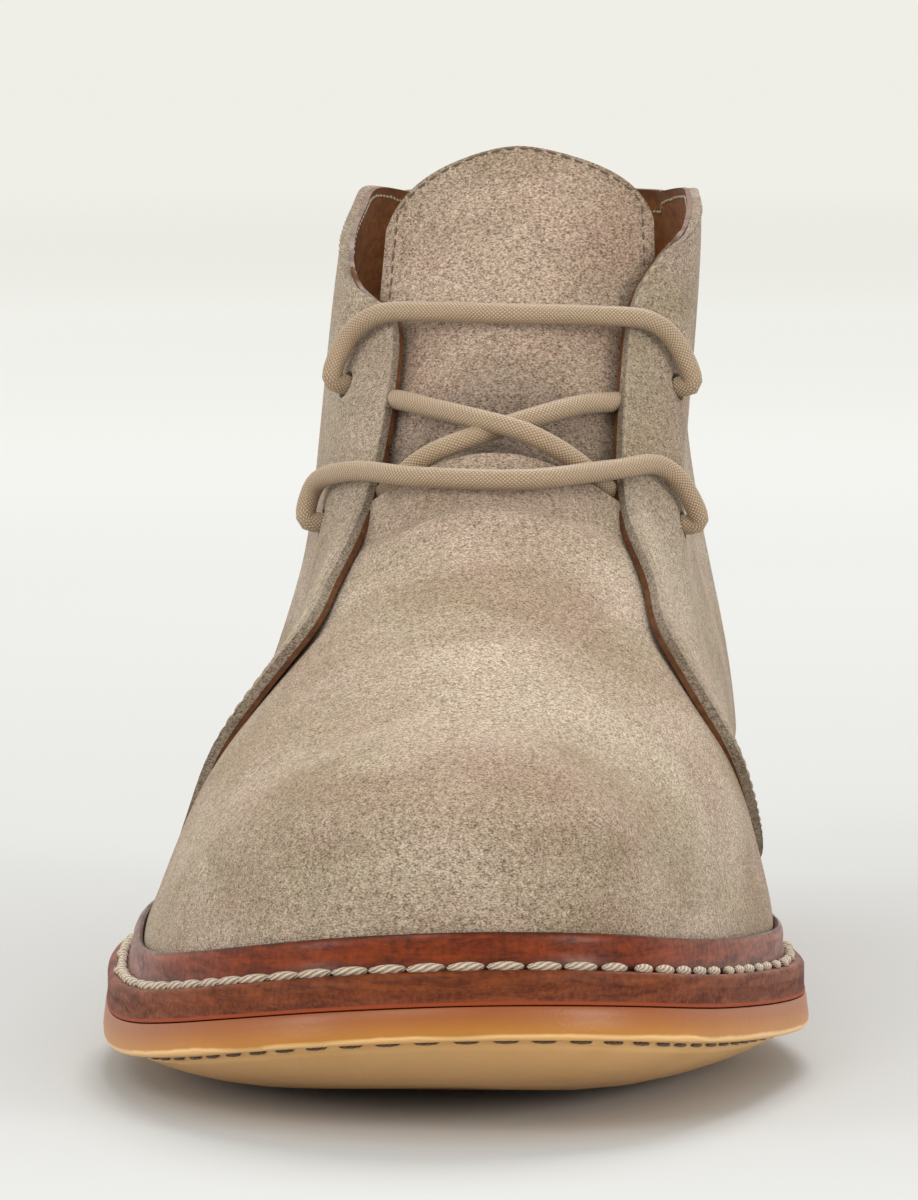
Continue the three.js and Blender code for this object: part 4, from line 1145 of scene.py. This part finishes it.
# The pale stop at 0.11 is a painted highlight along the lower corner; the dark stops at the top are painted
# shade.
between = ((0.05, "DCAA6A"), (0.11, "E6BC80"), (0.19, "B07428"), (0.5, "A0601C"), (0.8, "94521E"))
for position, code in between:
    stop = stops.new(position)
    stop.color = colour(code)
fine = noise(tree, on_object(tree, (1, 0.25, 1), turn=(0, 0, 0.7)), 1500.0, 3.0, 0.6)
finish_material(tree, surface, ramp.outputs["Color"], 0.4, fine, 0.25, 0.0002, subsurface_weight=0.1,
                subsurface_scale=0.004, specular_ior_level=0.45)

# %% Outsole
UNDER = CAMBER + OUTSOLE - OUTSOLE_EDGE
GROOVE, GROOVE_DEPTH = 4.1, 0.5
outsole_rows = [Ring(MIDDLE, 0, UNDER)] + [Ring(depth, 0, UNDER) for depth in (34, 26, 20, 15, 11, 8, 6, 4.9)]
outsole_rows += [
    Ring(GROOVE + 0.5, GROOVE_DEPTH, UNDER), Ring(GROOVE - 0.5, GROOVE_DEPTH, UNDER),
    Ring(3.3, 0.0, UNDER), Ring(2.2, 0, UNDER), Ring(1.3, 0.05, UNDER), Ring(0.7, 0.2, UNDER),
    Ring(0.35, 0.5, UNDER), Ring(0.2, 0.95, UNDER), Ring(0.15, 2.2, UNDER - 0.4),
    Ring(0.25, 3.6, UNDER - 0.9), Ring(0.4, 5.2, UNDER - 1.5), Ring(0.5, 6.8, CAMBER),
    Ring(0.8, OUTSOLE, CAMBER), Ring(3, OUTSOLE, CAMBER), Ring(12, OUTSOLE, CAMBER),
    Ring(26, OUTSOLE, CAMBER), Ring(MIDDLE, OUTSOLE, CAMBER),
]
outsole = band("outsole", outsole_rows, ring_place, {"rise": lambda ring: ring.level / OUTSOLE})
belongs(outsole, "amber_rubber", amber, stands_for=["outsole"])

# %% [markdown]
# The heel is a leather lift in two layers under the sole and a rubber top piece on the floor. The breast,
# its front face, is cut straight across. Each block is a grid round the heel, closed over its two ends.

# %% Heel
SEAT_LENGTH = LAST_STATION - station_at(-1, BREAST / SOLE_LENGTH)
heel_side = stations_between(LAST_STATION - SEAT_LENGTH, LAST_STATION, 40)
BREAST_STEPS = 16
HEEL_MIDDLE = Vector((1.5, 106, 0))


def heel_edge(i, depth):
    around = 2 * len(heel_side) - 2
    k = i % (around + BREAST_STEPS)
    if k < len(heel_side):
        return inset(-1, heel_side[k], depth)
    if k <= around:
        return inset(1, heel_side[around - k], depth)
    left, right = inset(-1, heel_side[0], depth), inset(1, heel_side[0], depth)
    return right.lerp(left, (k - around) / BREAST_STEPS)


def heel_block(name, rows):
    def spot(i, j):
        ring = rows[j]
        point = HEEL_MIDDLE.copy() if ring.depth == MIDDLE else heel_edge(i, ring.depth)
        point.z = ring.level if ring.camber == 0 else ground_line(point.y) + ring.level
        return point

    piece = laid_sheet(name, 2 * len(heel_side) - 2 + BREAST_STEPS, len(rows) - 1, spot,
                       {"rise": lambda i, j: 0.9 - 0.06 * rows[j].level})
    face_outwards(piece)
    bpy.ops.object.shade_smooth_by_angle(angle=math.radians(40))
    return piece


# In these rows a camber of 1 measures the level from the sole's underside, and 0 from the floor.
heel_lift = heel_block("heel_lift_layers", [
    Ring(MIDDLE, 6.1, 0), Ring(2.5, 6.1, 0), Ring(2.2, 6.3, 0), Ring(2.0, 10.1, 0), Ring(2.2, 10.25, 0),
    Ring(1.95, 10.4, 0), Ring(1.7, -0.4, 1), Ring(1.9, -0.1, 1), Ring(MIDDLE, -0.1, 1),
])
belongs(heel_lift, "welt_leather", stack_leather, stands_for=["heel_lift"])
heel_piece = heel_block("heel_rubber", [
    Ring(MIDDLE, 0, 0), Ring(3.4, 0, 0), Ring(2.9, 0.2, 0), Ring(2.75, 0.7, 0), Ring(2.3, 5.7, 0),
    Ring(2.5, 6, 0), Ring(MIDDLE, 6, 0),
])
belongs(heel_piece, "amber_rubber", amber, stands_for=["heel_top_piece"])

insole = bpy.data.objects["insole"]
insole.data.materials.clear()
insole.data.materials.append(insole_leather)

# %% [markdown]
# Sewing is what makes the boot look made. One stitch is modelled from a low sphere, drawn out to a grain of
# rice and sunk at both ends, then copied along each seam at its true pitch and joined to one mesh per seam.
# Two sine waves of its number turn and shift each copy a little, as a hand does. A seam is a line of points
# on the leather, each with the way out from it.

# %% Sewing
Seam = namedtuple("Seam", "pitch length wide high")
WELT_SEAM, GROOVE_SEAM = Seam(5.9, 5.9, 1.7, 1.6), Seam(5.9, 4.0, 1.2, 0.8)
PANEL_SEAM, TONGUE_SEAM = Seam(2.5, 1.9, 0.6, 0.5), Seam(2.3, 1.7, 0.55, 0.5)


def spaced(line, pitch):
    lengths = [0]
    for (a, _), (b, _) in zip(line, line[1:]):
        lengths.append(lengths[-1] + (b - a).length)
    k, places = 1, []
    for number in range(int(lengths[-1] / pitch)):
        target = (number + 0.5) * pitch
        while lengths[k] < target:
            k += 1
        (a, out_a), (b, out_b) = line[k - 1], line[k]
        t = (target - lengths[k - 1]) / (lengths[k] - lengths[k - 1])
        places.append((a.lerp(b, t), b - a, out_a.lerp(out_b, t)))
    return places


def sew(name, lines, seam, material, segments=6, rings=4, lean=0.0):
    bpy.ops.object.select_all(action="DESELECT")
    bpy.ops.mesh.primitive_uv_sphere_add(segments=segments, ring_count=rings, radius=0.5)
    model = bpy.context.object
    bpy.ops.object.shade_smooth()
    copies = []
    for line in lines:
        for number, (point, way, out) in enumerate(spaced(line, seam.pitch)):
            uneven = math.sin(number * 2.3) * 0.5 + math.sin(number * 5.1) * 0.5
            aside = out.normalized().cross(way.normalized())
            along = (way.normalized() + aside * lean * (1 + uneven)).normalized()
            point = point + aside * uneven * 0.12 * seam.wide
            up = (out - along * out.dot(along)).normalized()
            copy = model.copy()
            copy.data = model.data.copy()
            bpy.context.collection.objects.link(copy)
            wide = seam.wide * (1 + 0.12 * uneven)
            turn = Matrix((up * seam.high, along.cross(up) * wide, along * seam.length)).transposed().to_4x4()
            copy.data.transform(Matrix.Translation(point * MM) @ Matrix.Scale(MM, 4) @ turn)
            copies.append(copy)
    bpy.data.objects.remove(model)
    for copy in copies:
        copy.select_set(True)
    bpy.context.view_layer.objects.active = copies[0]
    bpy.ops.object.join()
    piece = bpy.context.object
    piece.name = piece.data.name = name
    print(name, len(copies), "stitches")
    return piece


# %% Welt stitches and the stitches in the groove
def sole_line(depth, level, camber, out):
    half = len(loop) // 2
    places = loop[half:] + loop[:half + 1]
    rim = EVEN_RIM if out.z > 0 else UNDER_RIM
    return [(plate_point(side, station, depth, level, camber, rim=rim), out) for side, station in places]


# Behind the ball the welt narrows, and its seam runs in under the rand.
WELT_SEAM_DEPTH, WELT_SEAM_END = 3.1, 12
welt_line = [spot for spot in sole_line(WELT_SEAM_DEPTH, WELT_TOP + 0.45, CAMBER, Vector((0, 0, 1)))
             if spot[0].y < WELT_SEAM_END]
welt_stitches = sew("welt_stitches", [welt_line], WELT_SEAM, welt_thread, 8, 6, 0.16)
belongs(welt_stitches, "welt_leather", welt_thread)
groove_line = [spot for spot in sole_line(GROOVE, 0.3, UNDER, Vector((0, 0, -1))) if spot[0].y < BREAST - 2]
groove_stitches = sew("groove_stitches", [groove_line], GROOVE_SEAM, dark_thread)
belongs(groove_stitches, "welt_leather", dark_thread)


# %% Seams of the quarters, the collar and the tongue
def share_behind(side, level, distance):
    step = (quarter_point(side, 0.015, level) - quarter_point(side, 0, level)).length
    return 0.015 * distance / step


def level_under(side, share, distance):
    step = (quarter_point(side, share, 1) - quarter_point(side, share, 0.97)).length
    return 1 - 0.03 * distance / step


def on_quarter(side, share, level, deeper=0.0):
    point = quarter_point(side, share, level, deeper)
    return point, (point - quarter_point(side, share, level, deeper + 1)) * (1 if deeper <= 0 else -1)


panel_lines, lining_lines = [], []
THROUGH = SUEDE_THICKNESS + LINING_THICKNESS
for side in (-1, 1):
    levels = [0.02 + 0.93 * k / 120 for k in range(121)]
    panel_lines.append([on_quarter(side, share_behind(side, level, 2.4), level) for level in levels])
    shares = [0.05 + 0.93 * k / 80 for k in range(81)]
    panel_lines.append([on_quarter(side, share, level_under(side, share, 3.6)) for share in shares])
    lining_lines.append([on_quarter(side, share, level_under(side, share, 3.6), THROUGH) for share in shares])
    back = [0.03 + 0.94 * k / 60 for k in range(61)]
    panel_lines.append([on_quarter(side, 0.975, level) for level in back])
panel_stitches = sew("panel_stitches", panel_lines, PANEL_SEAM, panel_thread)
belongs(panel_stitches, "suede", panel_thread)
lining_stitches = sew("lining_stitches", lining_lines, PANEL_SEAM, panel_thread)
belongs(lining_stitches, "lining_leather", panel_thread)


def on_tongue(across, share):
    point = tongue_point(across, share)
    return point, point - tongue_point(across, share, 1)


EDGE_ACROSS, EDGE_SHARE = 0.92, 0.975
tongue_line = [on_tongue(-EDGE_ACROSS, 0.35 + (EDGE_SHARE - 0.35) * k / 40) for k in range(41)]
tongue_line += [on_tongue(EDGE_ACROSS * (k / 20 - 1), EDGE_SHARE) for k in range(1, 41)]
tongue_line += [on_tongue(EDGE_ACROSS, EDGE_SHARE + (0.35 - EDGE_SHARE) * k / 40) for k in range(1, 41)]
tongue_stitches = sew("tongue_stitches", [tongue_line], TONGUE_SEAM, dark_thread)
belongs(tongue_stitches, "suede", dark_thread)
